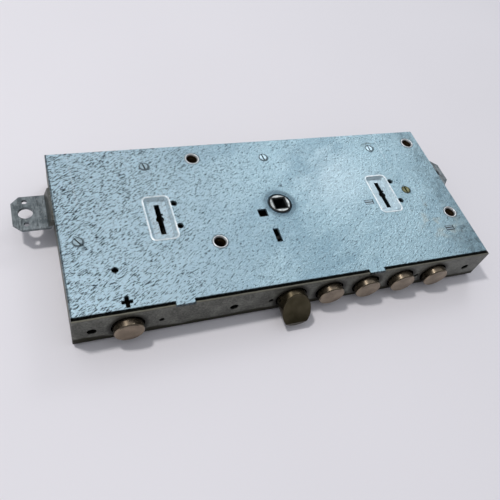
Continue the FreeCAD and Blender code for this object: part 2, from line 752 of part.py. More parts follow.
def coil(name, at, radius, wire, length, turns, along):
    """A coil spring with round wire from a point along +Z or +Y."""
    helix = doc.addObject("Part::Helix", name + "_line")
    bind(helix, "Radius", radius)
    bind(helix, "Height", length)
    bind(helix, "Pitch", size(length) / turns)
    place(helix, at, TURN[along])
    ring = doc.addObject("Part::Circle", name + "_wire")
    bind(ring, "Radius", wire)
    start = TURN[along].multVec(FreeCAD.Vector(1, 0, 0))
    shifted = [size(part) + size(radius) * share for part, share in zip(at, (start.x, start.y, start.z))]
    place(ring, shifted, TURN[along].multiply(TURN["y"]))
    sweep = doc.addObject("Part::Sweep", name)
    sweep.Sections = [ring]
    sweep.Spine = (helix, [])
    sweep.Solid = True
    sweep.Frenet = True
    return sweep


def latch_works():
    """Latch spring, the bracket that guides the latch rod, the follower and its return spring."""
    x, z = d.latch_x, d.bolt_axis_z
    plate = front + BRACKET_Y
    wire = 0.6
    spring = coil("latch_coil", (x, latch_rear + wire + 0.3, z), d.latch_rod + wire + 0.9, size(wire),
                  plate - latch_rear - 2 * wire - 0.6, 6, "y")
    node("latch_spring", spring)
    wall = block("rod_guide_wall", (x - 8, x + 8), (plate, plate + 2.5), (floor, z + 6.5))
    foot = block("rod_guide_foot", (x - 8, x + 8), (plate, plate + 9), (floor, floor + 2.5))
    bore = drum("rod_guide_bore", (x, plate - 1, z), d.latch_rod + 0.1, 5, "y")
    node("latch_guide_bracket", cut("rod_guide", fuse("rod_guide_body", [wall, foot]), [bore]))

    hub = Sheet("follower_hub")
    r = d.hub_radius
    profile = [(0, 0.3), (r, 0.3), (r, top - 0.5), (r - 0.9, top + 0.2), (0, top + 0.2)]
    hub.turn("XZ_Plane", lambda s: polygon(s, profile))

    tip = (-d.arm_reach * cosine(d.arm_rest), arm_y)
    hub.pad("XY_Plane", d.arm_low, d.arm_thick, lambda s: slot(s, (0, 0), tip, d.arm_shaft))
    hub.pad("XY_Plane", d.arm_low, d.arm_thick, lambda s: circle(s, tip, d.arm_tip))
    half = d.spindle / 2
    hub.pocket("XY_Plane", top + 0.2, top + 1, lambda s: rectangle(s, (-half, half), (-half, half)))
    lead = half + 0.5
    hub.pocket("XY_Plane", top + 0.2, 0.5, lambda s: rectangle(s, (-lead, lead), (-lead, lead)),
               taper=size(-45))
    node("handle_follower", hub.body)
    node("follower_spring", coil("follower_coil", (0, 0, floor + 1.2), r + 1.9, size(0.7), 6.4, 4, "z"))


# ---------------------------------------------------------------- carriages

TOOTH_PITCH = 8.0
POST_Y = -22.5
TEETH = 5


def toothed_edge(x, side, start, count):
    """Points along a rack edge, taken towards +Y: teeth reach towards a side for the key to drive."""
    points = []
    for i in range(count):
        low = start + TOOTH_PITCH * i
        points += [(x, low), (x + side * 3.0, low + 1.2), (x + side * 3.0, low + 3.2), (x, low + 4.4)]
    return points


def carriage(name, outline, flange, posts, slots, stump):
    """Bolt carriage: flat plate with a front flange for the bolts, guide slots and the stump's hole."""
    base = flat(name + "_plate", d.carriage_low, d.carriage_sheet, lambda s: polygon(s, outline))
    flange_low = d.bolt_axis_z - d.bolt_radius + 0.5
    base.pad("XY_Plane", flange_low, d.carriage_low + 0.1 - flange_low,
             lambda s: rectangle(s, flange, (bolt_rear, bolt_rear + d.carriage_sheet)))

    def cuts(drawn):
        for x, y, radius in posts:
            slot(drawn, (x, y), (x, y + d.throw), radius + d.slot_play)
        for start, end in slots:
            slot(drawn, start, end, d.cam_pin + d.slot_play)
        circle(drawn, stump, 1.8)

    base.pocket("XY_Plane", carriage_top, d.carriage_sheet + 0.2, cuts)
    return base


main_posts = [(d.bolt_first_x + 11, POST_Y), (d.cam_middle_x + 9, POST_Y)]
service_posts = [(d.service_bolt_x - 5.5, POST_Y), (d.service_bolt_x + 12.7, POST_Y)]
main_stump_at = (d.key_pitch - 24.5, stump_y)
service_stump_at = (-d.key_pitch - 18.5, stump_y - 2)


def main_carriage():
    """Carriage of the four main bolts, with the two slanted cam slots that drive the rods."""
    key_x, key_y = d.key_pitch, d.key_back
    rear = bolt_rear
    pin_left = (d.cam_middle_x - d.cam_half, d.cam_y)
    pin_right = (d.cam_middle_x + d.cam_half, d.cam_y)
    far_left = (pin_left[0] - d.rod_travel, d.cam_y + d.throw)
    far_right = (pin_right[0] + d.rod_travel, d.cam_y + d.throw)
    web = d.cam_pin + d.slot_play + 3.0
    side = key_x + d.key_sweep + 0.2
    end = last_bolt + 10
    lobe = web * 1.25 + 0.2
    neck_right = key_x - 20.0
    neck_left = d.bolt_first_x + 4
    # Where the slanted lobes leave the neck: along each slot's own slope.
    slope = d.throw / d.rod_travel
    join_right = d.cam_y + (neck_right - pin_right[0] - lobe) * slope
    join_left = d.cam_y + (pin_left[0] - lobe - neck_left) * slope
    outline = [(d.bolt_first_x - 9, rear), (end, rear), (end, key_y + 32), (side, key_y + 32)]
    outline += list(reversed(toothed_edge(side, -1, key_y - 12, TEETH)))
    outline += [(side, key_y - d.key_sweep - 0.8), (neck_right, key_y - d.key_sweep - 0.8),
                (neck_right, join_right), (far_right[0] + lobe, far_right[1]),
                (far_right[0] + lobe, far_right[1] + web), (far_left[0] - lobe, far_left[1] + web),
                (far_left[0] - lobe, far_left[1]), (neck_left, join_left), (neck_left, rear + 8),
                (d.bolt_first_x - 9, rear + 8)]
    posts = [(x, size(y), d.post_radius) for x, y in main_posts] + [(d.pack_x, d.pack_y, d.post_radius)]
    flange = (d.bolt_first_x - 9, end)
    base = carriage("main_carriage", outline, flange, posts, [(pin_left, far_left), (pin_right, far_right)],
                    main_stump_at)

    def screw_holes(drawn):
        for x in bolt_places:
            circle(drawn, (x, d.bolt_axis_z), 2.7)

    base.pocket("XZ_Plane", -bolt_rear, d.carriage_sheet, screw_holes)
    node("main_bolt_carriage", base.body)


def service_carriage():
    """Carriage of the single service bolt."""
    rear = bolt_rear
    key_x, key_y = -d.key_pitch, d.key_back
    start = d.service_bolt_x - 12
    side = key_x - d.key_sweep - 0.2
    outline = [(start, rear), (side, rear)] + toothed_edge(side, 1, key_y - 12, TEETH)
    outline += [(side, key_y + 31), (start, key_y + 31)]
    posts = [(x, size(y), d.post_radius) for x, y in service_posts]
    flange = (start, d.service_bolt_x + 12)
    base = carriage("service_carriage", outline, flange, posts, [], service_stump_at)
    base.pocket("XZ_Plane", -bolt_rear, d.carriage_sheet,
                lambda s: circle(s, (d.service_bolt_x, d.bolt_axis_z), 2.7))
    node("service_bolt_carriage", base.body)


def shouldered(name, x, y, radius, shoulder, head):
    """Guide post: a round post from the floor with a thin head above what it guides."""
    profile = [(0, floor), (radius, floor), (radius, shoulder), (head, shoulder), (head, shoulder + 1.2),
               (0, shoulder + 1.2)]
    return turned(name, profile, (x, y, 0)).body


def carriage_fittings():
    """Guide posts, stumps and the front guide bars."""
    for label, places in (("main", main_posts), ("service", service_posts)):
        posts = [shouldered("%s_post_%d" % (label, i + 1), x, y, d.post_radius, carriage_top + 0.2, 5.0)
                 for i, (x, y) in enumerate(places)]
        node(label + "_carriage_posts", group(label + "_post_group", posts))
    for label, (x, y) in (("main", main_stump_at), ("service", service_stump_at)):
        foot = d.lever_low + 0.3
        profile = [(0, foot), (d.stump_radius, foot), (d.stump_radius, d.carriage_low),
                   (1.8, d.carriage_low), (1.8, carriage_top), (0, carriage_top)]
        node(label + "_stump", turned(label + "_stump_pin", profile, (x, y, 0)).body)
    low, high = floor + d.bend_inner + 0.1, d.bolt_axis_z + d.bolt_radius + 1.0
    for label, places in (("main", bolt_places), ("service", [d.service_bolt_x])):
        ends = (places[0] - 12.0, places[-1] + 12.0)
        bar = block(label + "_bar", ends, (front_inner, front_inner + 3.5), (low, high))
        bore = d.bolt_radius + 0.15
        bores = [drum("%s_bar_bore_%d" % (label, i + 1), (x, front_inner - 1, d.bolt_axis_z), bore, 6, "y")
                 for i, x in enumerate(places)]
        node(label + "_guide_bar", cut(label + "_bar_cut", bar, bores))


# ---------------------------------------------------------------- rods

def bracket(name, side, outer):
    """Bent rod bracket: flange inside the case, leaning web and a lower plate with three holes."""
    web_out = outer - d.bracket_plate * side
    flange_web = web_out - d.bracket_lean * side
    inner = web_out - d.bracket_inside * side
    t = d.rod_sheet
    high = rod_top + t
    low = high - d.bracket_step
    half = d.bracket_width / 2
    bent = Sheet(name + "_bent")
    outline = [(inner, high), (flange_web, high), (web_out, low), (outer, low), (outer, low - t),
               (web_out - t * side, low - t), (flange_web - t * side, high - t), (inner, high - t)]
    bent.pad("XZ_Plane", -(d.cam_y + half), d.bracket_width, lambda s: polygon(s, outline), back=False)
    # Bend radii: small inside, and a sheet thicker outside.
    for radius, bends in ((0.5, (outline[2], outline[6])), (2.2, (outline[1], outline[5]))):
        bent.soften(size(radius), lambda edge: any(
            all(abs(v.X - x.value) < 1e-4 and abs(v.Z - z.value) < 1e-4 for v in edge.Vertexes)
            for x, z in bends))

    def cuts(drawn):
        hole_x = outer - d.bracket_hole_in * side
        circle(drawn, (hole_x, d.cam_y), d.bracket_hole)
        for end in (-1, 1):
            circle(drawn, (hole_x, d.cam_y + d.bracket_spacing * end / 2), d.bracket_small)
            edge = d.cam_y + half * end
            polygon(drawn, [(outer + side, edge - d.bracket_chamfer * end - end), (outer + side, edge + end),
                            (outer - d.bracket_chamfer * side - side, edge + end)])

    bent.pocket("XY_Plane", low, t + 0.2, cuts)
    rivet_x = inner + 4 * side

    def rivet_holes(drawn):
        for end in (-1, 1):
            circle(drawn, (rivet_x, d.cam_y + 3 * end), 1.3)

    bent.pocket("XY_Plane", high, t + 0.2, rivet_holes)
    node(name + "_rod_bracket", bent.body)
    return rivet_x


def rod(name, side, outer, pin_x, post_places):
    """Flat rod slide with its cam pin, guide slots, bracket and rivets."""
    rivet_x = bracket(name, side, outer)
    half = d.rod_width / 2
    end = rivet_x + 5 * side
    start = pin_x - 4.6 * side
    slide = flat(name + "_slide", d.rod_low, d.rod_sheet, lambda s: polygon(
        s, [(start, d.cam_y - half), (end, d.cam_y - half), (end, d.cam_y + half), (start, d.cam_y + half)]))

    def cuts(drawn):
        for x in post_places:
            reach = x - d.rod_travel * side
            ends = sorted([x, reach], key=lambda place_x: place_x.value)
            slot(drawn, (ends[0], d.cam_y), (ends[1], d.cam_y), d.rod_post + d.slot_play)
        circle(drawn, (pin_x, d.cam_y), 1.8)
        for sign in (-1, 1):
            circle(drawn, (rivet_x, d.cam_y + 3 * sign), 1.3)

    slide.pocket("XY_Plane", rod_top, d.rod_sheet + 0.2, cuts)
    node(name + "_rod_slide", slide.body)
    foot = d.carriage_low - 0.6
    profile = [(0, foot), (d.cam_pin, foot), (d.cam_pin, d.rod_low), (1.8, d.rod_low),
               (1.8, rod_top), (3.2, rod_top), (2.6, rod_top + 0.9), (0, rod_top + 0.9)]
    node(name + "_cam_pin", turned(name + "_pin", profile, (pin_x, d.cam_y, 0)).body)
    rivets = []
    high = rod_top + d.rod_sheet
    for i, sign in enumerate((-1, 1)):
        profile = [(0, d.rod_low), (1.3, d.rod_low), (1.3, high), (2.4, high), (1.6, high + 0.9),
                   (0, high + 0.9)]
        rivets.append(turned("%s_rivet_%d" % (name, i + 1), profile, (rivet_x, d.cam_y + 3 * sign, 0)).body)
    node(name + "_rod_rivets", group(name + "_rivet_group", rivets))


def rods():
    """Both rods and the posts that guide them."""
    left_posts = [-d.key_pitch + 9.5, -d.key_pitch + 44.5]
    right_posts = [d.key_pitch + 5.5]
    rod("left", -1, left - d.left_reach, d.cam_middle_x - d.cam_half, left_posts)
    rod("right", 1, right + d.right_reach, d.cam_middle_x + d.cam_half, right_posts)
    posts = [shouldered("rod_post_%d" % (i + 1), x, d.cam_y, d.rod_post, rod_top + 0.2, 3.6)
             for i, x in enumerate(left_posts + right_posts)]
    node("rod_guide_posts", group("rod_post_group", posts))


# ---------------------------------------------------------------- lever packs

def lever(name, index, key_x, ends, stump, pins):
    """Flat lever round the key: a round key opening, a stump window and slots for its guide pins."""
    low = d.lever_low + d.lever_pitch * index
    blank = flat(name + "_blank", low, d.lever_thick, lambda s: rectangle(
        s, ends, (d.key_back - d.lever_half, d.key_back + d.lever_half)))

    def window(drawn):
        half = d.stump_radius + d.lever_travel + 0.4
        behind = stump[1] + d.stump_radius + 0.5
        ahead = stump[1] - d.throw - d.stump_radius - 0.5
        rectangle(drawn, (stump[0] - half, stump[0] + half), (ahead, behind))
        circle(drawn, (key_x, d.key_back), d.key_sweep + 0.1)
        for x, y in pins:
            reach = d.lever_travel + 0.2
            slot(drawn, (x - reach, y), (x + reach, y), d.guide_pin + d.slot_play)
        # Notch that tells one lever of the pack from the next.
        edge = d.key_back + d.lever_half
        rectangle(drawn, (key_x - 14.0 + 3.0 * index, key_x - 12.6 + 3.0 * index), (edge - 1.2, edge + 1))

    blank.pocket("XY_Plane", low + d.lever_thick, d.lever_thick + 0.2, window)
    node(name, blank.body)


def comb(name, x, y, count):
    """Spring comb: a foot, a thin back and one tongue for each lever."""
    foot = block(name + "_foot", (x, x + 6), (y - 6, y + 6), (floor, floor + 1.0))
    height = d.lever_low + d.lever_pitch * count
    spine = block(name + "_spine", (x + 1.6, x + 2.1), (y - 6, y - 2), (floor, height))
    tongues = [block("%s_tongue_%d" % (name, i + 1), (x + 1.6, x + 2.1), (y - 2.5, y + 6),
                     (d.lever_low + d.lever_pitch * i + 0.3, d.lever_low + d.lever_pitch * i + 1.5))
               for i in range(count)]
    return fuse(name, [foot, spine] + tongues)


def cage(name, key_x, ends, stump, holes, count, tenon=None):
    """Bridge over a lever pack: a top plate on two long legs, open over the key and the stump."""
    low = d.lever_low + d.lever_pitch * count + 0.6
    thick = 1.5
    gap = 0.8
    y_low, y_high = d.key_back - d.lever_half - gap, d.key_back + d.lever_half + gap
    roof = block(name + "_roof", ends, (y_low - thick, y_high + thick), (low, low + thick))
    legs = [block(name + "_front_leg", (key_x - 17, key_x + 12), (y_low - thick, y_low), (floor, low + 0.5)),
            block(name + "_back_leg", (key_x - 17, key_x + 12), (y_high, y_high + thick), (floor, low + 0.5))]
    solids = [roof] + legs
    if tenon:
        half_x, half_y = TENON_SIZE[0] / 2, TENON_SIZE[1] / 2
        solids.append(block(name + "_tenon", (tenon[0] - half_x, tenon[0] + half_x),
                            (tenon[1] - half_y, tenon[1] + half_y), (low, top - 0.05)))
    half = d.stump_radius + 0.8
    tools = [drum(name + "_key_way", (key_x, d.key_back, low - 1), d.key_sweep + 0.3, 4),
             block(name + "_stump_way", (stump[0] - half, stump[0] + half),
                   (stump[1] - d.throw - half, stump[1] + half), (low - 1, low + 3))]
    tools += [drum("%s_hole_%d" % (name, i + 1), (x, y, low - 1), radius, 4)
              for i, (x, y, radius) in enumerate(holes)]
    if tenon:
        tools.append(block(name + "_crease", (tenon[0] - half_x - 1, tenon[0] + half_x + 1),
                           (tenon[1] - 0.35, tenon[1] + 0.35), (top - 0.6, top + 1)))
    return cut(name, fuse(name + "_body", solids), tools)


def lever_packs():
    """Main and service lever packs with cages, guide pins and spring combs."""
    y = d.key_back
    main_pin = (main_stump_at[0] - 10.5, y)
    main_ends = (main_pin[0] - 7, d.pack_x + 5)
    service_pins = [(service_stump_at[0] - 9, y), (-d.key_pitch + 18.5, y)]
    service_ends = (service_pins[0][0] - 7, service_pins[1][0] + 7)
    for i in range(MAIN_LEVERS):
        lever("main_lever_%d" % (i + 1), i, d.key_pitch, main_ends, main_stump_at,
              [main_pin, (d.pack_x, d.pack_y)])
    for i in range(SERVICE_LEVERS):
        lever("service_lever_%d" % (i + 1), i, -d.key_pitch, service_ends, service_stump_at, service_pins)
    pins = []
    places = [(main_pin, MAIN_LEVERS)] + [(place_xy, SERVICE_LEVERS) for place_xy in service_pins]
    for i, ((x, pin_y), count) in enumerate(places):
        height = d.lever_low + d.lever_pitch * count + 0.4
        pins.append(drum("lever_pin_%d" % (i + 1), (x, pin_y, floor), d.guide_pin, height - floor))
    node("lever_guide_pins", group("lever_pin_group", pins))
    node("main_lever_springs", comb("main_comb", main_ends[1] + 0.6, y, MAIN_LEVERS))
    node("service_lever_springs", comb("service_comb", service_ends[1] + 0.6, y, SERVICE_LEVERS))
    main_holes = [(d.pack_x, d.pack_y, d.post_radius + 0.3)]
    main_roof = (main_pin[0] - 4, d.pack_x + 5)
    node("main_lever_cage", cage("main_cage", d.key_pitch, main_roof, main_stump_at, main_holes,
                                 MAIN_LEVERS, tenons[0]))
    service_roof = (service_pins[0][0] - 4, service_pins[1][0] + 4)
    node("service_lever_cage", cage("service_cage", -d.key_pitch, service_roof, service_stump_at, [],
                                    SERVICE_LEVERS))


def key_guards():
    """Hard plates under each key cup, tapped for the rosette screws, and the bushes for the keys' tips."""
    low = cover_low - d.cup_depth - 3.0
    for label, x in key_places.items():
        plate = flat(label + "_guard", low, 2.6, lambda s: rectangle(
            s, (x - 9, x + d.rosette_side + 4), (d.key_back - 13, d.key_back + 15)))
        middle = d.key_back + d.rosette_back
        spots = [(x + d.rosette_side, middle + d.rosette_spacing * side / 2) for side in (-1, 1)]

        def bosses(drawn):
            for spot in spots:
                circle(drawn, spot, d.rosette_radius + 0.5)

        plate.pad("XY_Plane", low + 2.6, cover_low - low - 2.75, bosses)

        def openings(drawn):
            wide, reach = d.key_slot_width / 2 + 0.1, d.key_slot_length / 2 + 0.1
            polygon(drawn, [(x - wide, d.key_back - reach), (x + wide, d.key_back - reach),
                            (x + wide, d.key_back + reach), (x - wide, d.key_back + reach)])
            for spot in spots:
                circle(drawn, spot, d.rosette_radius - 0.2)

        plate.pocket("XY_Plane", cover_low, cover_low - low + 0.2, openings)
        node(label + "_guard_plate", plate.body)
    bushes = []
    for label, x in key_places.items():
        profile = [(d.key_stem_radius + 0.1, floor), (6, floor), (6, floor + 2), (5, floor + 3),
                   (d.key_stem_radius + 0.1, floor + 3)]
        bushes.append(turned(label + "_tip_bush", profile, (x, d.key_back, 0)).body)
    node("key_tip_bushes", group("tip_bush_group", bushes))


for make in (case_tray, cover_plate, case_fasteners, corner_spacer, deadbolts, latch, latch_works,
             main_carriage, service_carriage, carriage_fittings, rods, lever_packs, key_guards):
    make()
doc.recompute()

for thing in doc.Objects:
    if "Invalid" in thing.State or "Error" in thing.State:
        raise RuntimeError("%s failed: %s" % (thing.Name, thing.State))
os.makedirs("parts", exist_ok=True)
for label, thing in NODES.items():
    shape = thing.Shape
    if shape.isNull() or not shape.isValid() or not shape.Solids:
        raise RuntimeError("%s has no valid solid" % label)
for label, thing in NODES.items():
    thing.Shape.exportStep("parts/%s.step" % label)
    box = thing.Shape.BoundBox
    print("%-24s %2d solids  X %7.1f %7.1f  Y %7.1f %7.1f  Z %5.1f %5.1f" % (
        label, len(thing.Shape.Solids), box.XMin, box.XMax, box.YMin, box.YMax, box.ZMin, box.ZMax))
print(len(NODES), "nodes")
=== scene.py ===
# %% [markdown]
# # Finishing a mortise lock
# The lock is a flat box of zinc coated sheet with round bolts along one edge. The shapes come from a
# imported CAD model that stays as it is. This lesson gives every surface its finish, turns the few parts
# whose detail is finer than the CAD (threads, rolled lips, the latch spring), and sets the light.

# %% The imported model
import json
import math
from functools import reduce

import bpy
import numpy as np
from mathutils import Matrix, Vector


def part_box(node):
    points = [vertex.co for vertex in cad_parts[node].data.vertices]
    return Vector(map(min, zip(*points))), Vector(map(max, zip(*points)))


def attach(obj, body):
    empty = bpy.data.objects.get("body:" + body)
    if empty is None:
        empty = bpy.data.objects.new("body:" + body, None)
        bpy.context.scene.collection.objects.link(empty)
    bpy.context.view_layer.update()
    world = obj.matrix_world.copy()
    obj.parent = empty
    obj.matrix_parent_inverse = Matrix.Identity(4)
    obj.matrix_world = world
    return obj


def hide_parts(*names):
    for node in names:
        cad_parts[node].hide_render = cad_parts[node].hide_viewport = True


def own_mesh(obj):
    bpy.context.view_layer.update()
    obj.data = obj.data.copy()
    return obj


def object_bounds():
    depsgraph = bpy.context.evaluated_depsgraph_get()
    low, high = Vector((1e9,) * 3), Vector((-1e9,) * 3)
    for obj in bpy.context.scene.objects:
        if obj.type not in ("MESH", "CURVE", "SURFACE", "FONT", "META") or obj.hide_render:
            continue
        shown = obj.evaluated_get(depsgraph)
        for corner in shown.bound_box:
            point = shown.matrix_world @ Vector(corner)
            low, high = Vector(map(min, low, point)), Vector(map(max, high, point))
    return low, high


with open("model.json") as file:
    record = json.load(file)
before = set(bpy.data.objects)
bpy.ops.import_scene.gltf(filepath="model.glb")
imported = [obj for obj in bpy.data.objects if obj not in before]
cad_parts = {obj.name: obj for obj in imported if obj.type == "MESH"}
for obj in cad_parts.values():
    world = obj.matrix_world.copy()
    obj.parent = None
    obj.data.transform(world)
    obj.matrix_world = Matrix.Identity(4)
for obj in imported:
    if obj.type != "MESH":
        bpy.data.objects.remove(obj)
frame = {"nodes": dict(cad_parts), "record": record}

cad_low, cad_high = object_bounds()
MM = 0.001
print("nodes", len(frame["nodes"]), "box", [round(v, 4) for v in list(cad_low) + list(cad_high)])

# %% [markdown]
# ## The camera
# A product shot of a flat box is taken from one corner, looking down at it, with the camera rolled a
# little. A camera could be aimed with a constraint, but a roll is easier to state as three directions:
# what is right, what is up, and what lies ahead. They form the columns of its matrix.

# %% Camera
VIEW_RIGHT = (0.92783, -0.30299, 0.21756)
VIEW_DOWN = (-0.12629, -0.80398, -0.58109)
VIEW_AHEAD = (0.35098, 0.51168, -0.78422)
VIEW_FROM = (-0.15903, -0.2167, 0.3089)
LENS = 40.2
SENSOR = 36.0
LENS_SHIFT = -0.004


def aim_camera():
    """A camera whose axes are the three directions: x to the right, y up, and z towards the viewer."""
    lens = bpy.data.cameras.new("viewpoint")
    lens.lens = LENS
    lens.sensor_width = SENSOR
    lens.shift_y = LENS_SHIFT
    lens.clip_start = 0.01
    camera = bpy.data.objects.new("viewpoint", lens)
    axes = np.eye(4)
    axes[:3, 0] = VIEW_RIGHT
    axes[:3, 1] = -np.array(VIEW_DOWN)
    axes[:3, 2] = -np.array(VIEW_AHEAD)
    axes[:3, 3] = VIEW_FROM
    camera.matrix_world = Matrix(axes.tolist())
    bpy.context.collection.objects.link(camera)
    bpy.context.scene.camera = camera
    return camera


print("camera", aim_camera().name)

# %% [markdown]
# ## Meshes from grids
# A turned or rolled part is one surface: a profile swept round an axis or along a path. Modelling it by
# hand with loop cuts would work, but a formula on a grid of two parameters gives every vertex at once,
# and the same helper then makes a bush, a bead or a coil.


# %% Grid to mesh
def grid_mesh(name, points, wrap_rows=True, wrap_columns=True):
    """A mesh of quads from points[row, column, xyz]; a wrapped direction joins its last line to its first."""
    rows, columns = points.shape[:2]
    index = np.arange(rows * columns).reshape(rows, columns)
    below = np.roll(index, -1, axis=0) if wrap_rows else index[1:]
    here = index if wrap_rows else index[:-1]
    if wrap_columns:
        quads = np.stack([here, np.roll(here, -1, 1), np.roll(below, -1, 1), below], axis=-1)
    else:
        quads = np.stack([here[:, :-1], here[:, 1:], below[:, 1:], below[:, :-1]], axis=-1)
    quads = quads.reshape(-1, 4)
    mesh = bpy.data.meshes.new(name)
    mesh.from_pydata(points.reshape(-1, 3).tolist(), [], quads.tolist())
    mesh.polygons.foreach_set("use_smooth", np.ones(len(mesh.polygons), dtype=bool))
    mesh.update()
    return mesh


def outward(mesh):
    """Turn a closed mesh the right way out: its signed volume, summed over its faces, is made positive."""
    mesh.calc_loop_triangles()
    corners = np.empty(len(mesh.loop_triangles) * 3, dtype=np.int32)
    mesh.loop_triangles.foreach_get("vertices", corners)
    places = np.empty(len(mesh.vertices) * 3)
    mesh.vertices.foreach_get("co", places)
    a, b, c = places.reshape(-1, 3)[corners.reshape(-1, 3)].transpose(1, 0, 2)
    volume = float(np.einsum("ij,ij->i", a, np.cross(b, c)).sum() / 6)
    if volume < 0:
        mesh.flip_normals()
    return abs(volume)


def piece(name, meshes, finish, body):
    """One object from one or more meshes, riding on a body, with its finish."""
    volume = sum(outward(mesh) for mesh in meshes)
    places, faces, start = [], [], 0
    for mesh in meshes:
        flat = np.empty(len(mesh.vertices) * 3)
        mesh.vertices.foreach_get("co", flat)
        places.append(flat.reshape(-1, 3))
        faces += [[v + start for v in face.vertices] for face in mesh.polygons]
        start += len(mesh.vertices)
        bpy.data.meshes.remove(mesh)
    whole = bpy.data.meshes.new(name)
    whole.from_pydata(np.concatenate(places).tolist(), [], faces)
    whole.polygons.foreach_set("use_smooth", np.ones(len(whole.polygons), dtype=bool))
    whole.materials.append(finish)
    thing = bpy.data.objects.new(name, whole)
    bpy.context.collection.objects.link(thing)
    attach(thing, body)
    print(name, len(whole.polygons), "faces", round(volume * 1e9, 1), "mm3")
    return thing


# %% [markdown]
# ## Sums on surfaces
# A finish is a sum of simple patterns: flecks, stains, scratches. In the node editor each plus and times
# is a Math node placed by hand. Here a small class stands for one number that varies over the surface, so
# that a pattern is written as arithmetic and the nodes are added behind it.


# %% Shader arithmetic
class Amount:
    """A number that varies over a surface: the output socket of a node, with arithmetic."""

    def __init__(self, finish, socket):
        self.finish = finish
        self.socket = socket

    def __add__(self, other):
        return self.finish.math("ADD", self, other)

    def __sub__(self, other):
        return self.finish.math("SUBTRACT", self, other)

    def __rsub__(self, other):
        return self.finish.math("SUBTRACT", other, self)

    def __mul__(self, other):
        return self.finish.math("MULTIPLY", self, other)

    __radd__ = __add__
    __rmul__ = __mul__


class Finish:
    """One material, or the sky, built node by node. Patterns on the object have lengths in metres."""

    def __init__(self, name, kind=bpy.data.materials, place="Object"):
        self.made = kind.new(name)
        self.made.use_nodes = True
        self.tree = self.made.node_tree
        self.tree.nodes.clear()
        self.place = self.node("ShaderNodeTexCoord", None, None, place)

    def node(self, kind, settings=None, values=None, output=0):
        """Add a node: its settings first, then a value or a link for each named or numbered socket."""
        made = self.tree.nodes.new(kind)
        for key, setting in (settings or {}).items():
            setattr(made, key, setting)
        for key, value in (values or {}).items():
            if isinstance(value, Amount):
                self.tree.links.new(value.socket, made.inputs[key])
            else:
                made.inputs[key].default_value = value
        return Amount(self, made.outputs[output]) if made.outputs else None

    def math(self, operation, *numbers):
        return self.node("ShaderNodeMath", {"operation": operation}, dict(enumerate(numbers)))

    def most(self, *amounts):
        """The largest of several amounts."""
        return reduce(lambda first, second: self.math("MAXIMUM", first, second), amounts)

    def least(self, *amounts):
        """The smallest of several amounts."""
        return reduce(lambda first, second: self.math("MINIMUM", first, second), amounts)

    def turned(self, degrees=(0, 0, 0), stretch=(1, 1, 1), shift=(0, 0, 0)):
        """Object coordinates moved, then turned about the axes, then stretched for a pattern."""
        moved = self.node("ShaderNodeVectorMath", {"operation": "SUBTRACT"}, {0: self.place, 1: shift})
        turn = [math.radians(angle) for angle in degrees]
        facing = self.node("ShaderNodeVectorRotate", {"rotation_type": "EULER_XYZ"},
                           {"Vector": moved, "Rotation": turn})
        return self.node("ShaderNodeVectorMath", {"operation": "MULTIPLY"}, {0: facing, 1: stretch})

    def axis(self, vector, which):
        return self.node("ShaderNodeSeparateXYZ", None, {0: vector}, which)

    def noise(self, vector, scale=1.0, detail=3.0, rough=0.5, kink=0.0):
        return self.node("ShaderNodeTexNoise", None, {
            "Vector": vector, "Scale": scale, "Detail": detail, "Roughness": rough, "Distortion": kink})

    def step(self, amount, low, high, bottom=0.0, top=1.0):
        """A soft step: bottom while amount is under low, top once it is over high."""
        return self.node("ShaderNodeMapRange", {"interpolation_type": "SMOOTHSTEP", "clamp": True}, {
            "Value": amount, "From Min": low, "From Max": high, "To Min": bottom, "To Max": top})

    def mix(self, share, first, second):
        """Colour between two colours, by share from 0 to 1."""
        settings = {"data_type": "RGBA", "clamp_factor": True}
        return self.node("ShaderNodeMix", settings, {
            0: share, 6: self._colour(first), 7: self._colour(second)}, 2)

    def _colour(self, colour):
        return colour if isinstance(colour, Amount) else (*colour, 1.0)

    def away(self, centre, flatten=(1, 1, 0)):
        """Distance from a line through centre, along whichever axis flatten leaves out."""
        offset = self.node("ShaderNodeVectorMath", {"operation": "SUBTRACT"}, {0: self.place, 1: centre})
        level = self.node("ShaderNodeVectorMath", {"operation": "MULTIPLY"}, {0: offset, 1: flatten})
        return self.node("ShaderNodeVectorMath", {"operation": "LENGTH"}, {0: level}, 1)

    def bump(self, height, depth, strength=1.0):
        return self.node("ShaderNodeBump", None, {"Height": height, "Distance": depth, "Strength": strength})

    def close(self, colour, rough, normal=None, metallic=1.0, **fixed):
        """The surface shader, fed by the patterns, with its fixed numbers set on its own sockets."""
        values = {"Base Color": self._colour(colour), "Roughness": rough, "Metallic": metallic}
        values.update({name.replace("_", " "): value for name, value in fixed.items()})
        if normal:
            values["Normal"] = normal
        shader = self.node("ShaderNodeBsdfPrincipled", None, values)
        self.node("ShaderNodeOutputMaterial", None, {"Surface": shader})
        return self.made


def srgb(red, green, blue):
    """Linear colour from the 0 to 255 numbers of a paint chart: the screen's curve undone."""
    chart = np.array([red, green, blue]) / 255.0
    curved = ((chart + 0.055) / 1.055) ** 2.4
    return tuple(float(v) for v in np.where(chart <= 0.04045, chart / 12.92, curved))


def paint(thing, material):
    """Give every material slot of a CAD node the finish."""
    for slot in thing.material_slots:
        slot.material = material


print("grey card", srgb(128, 128, 128))

# %% [markdown]
# ## Places on the lock
# Dirt gathers round screws, along edges and in pressed cups, so a finish has to know where those are. The
# frame tells where most of them are: the front edge, the cover's top, the middle of every screw and bush.
# The few that are only part of a larger piece, such as the tabs and the key cups, are stated once here.

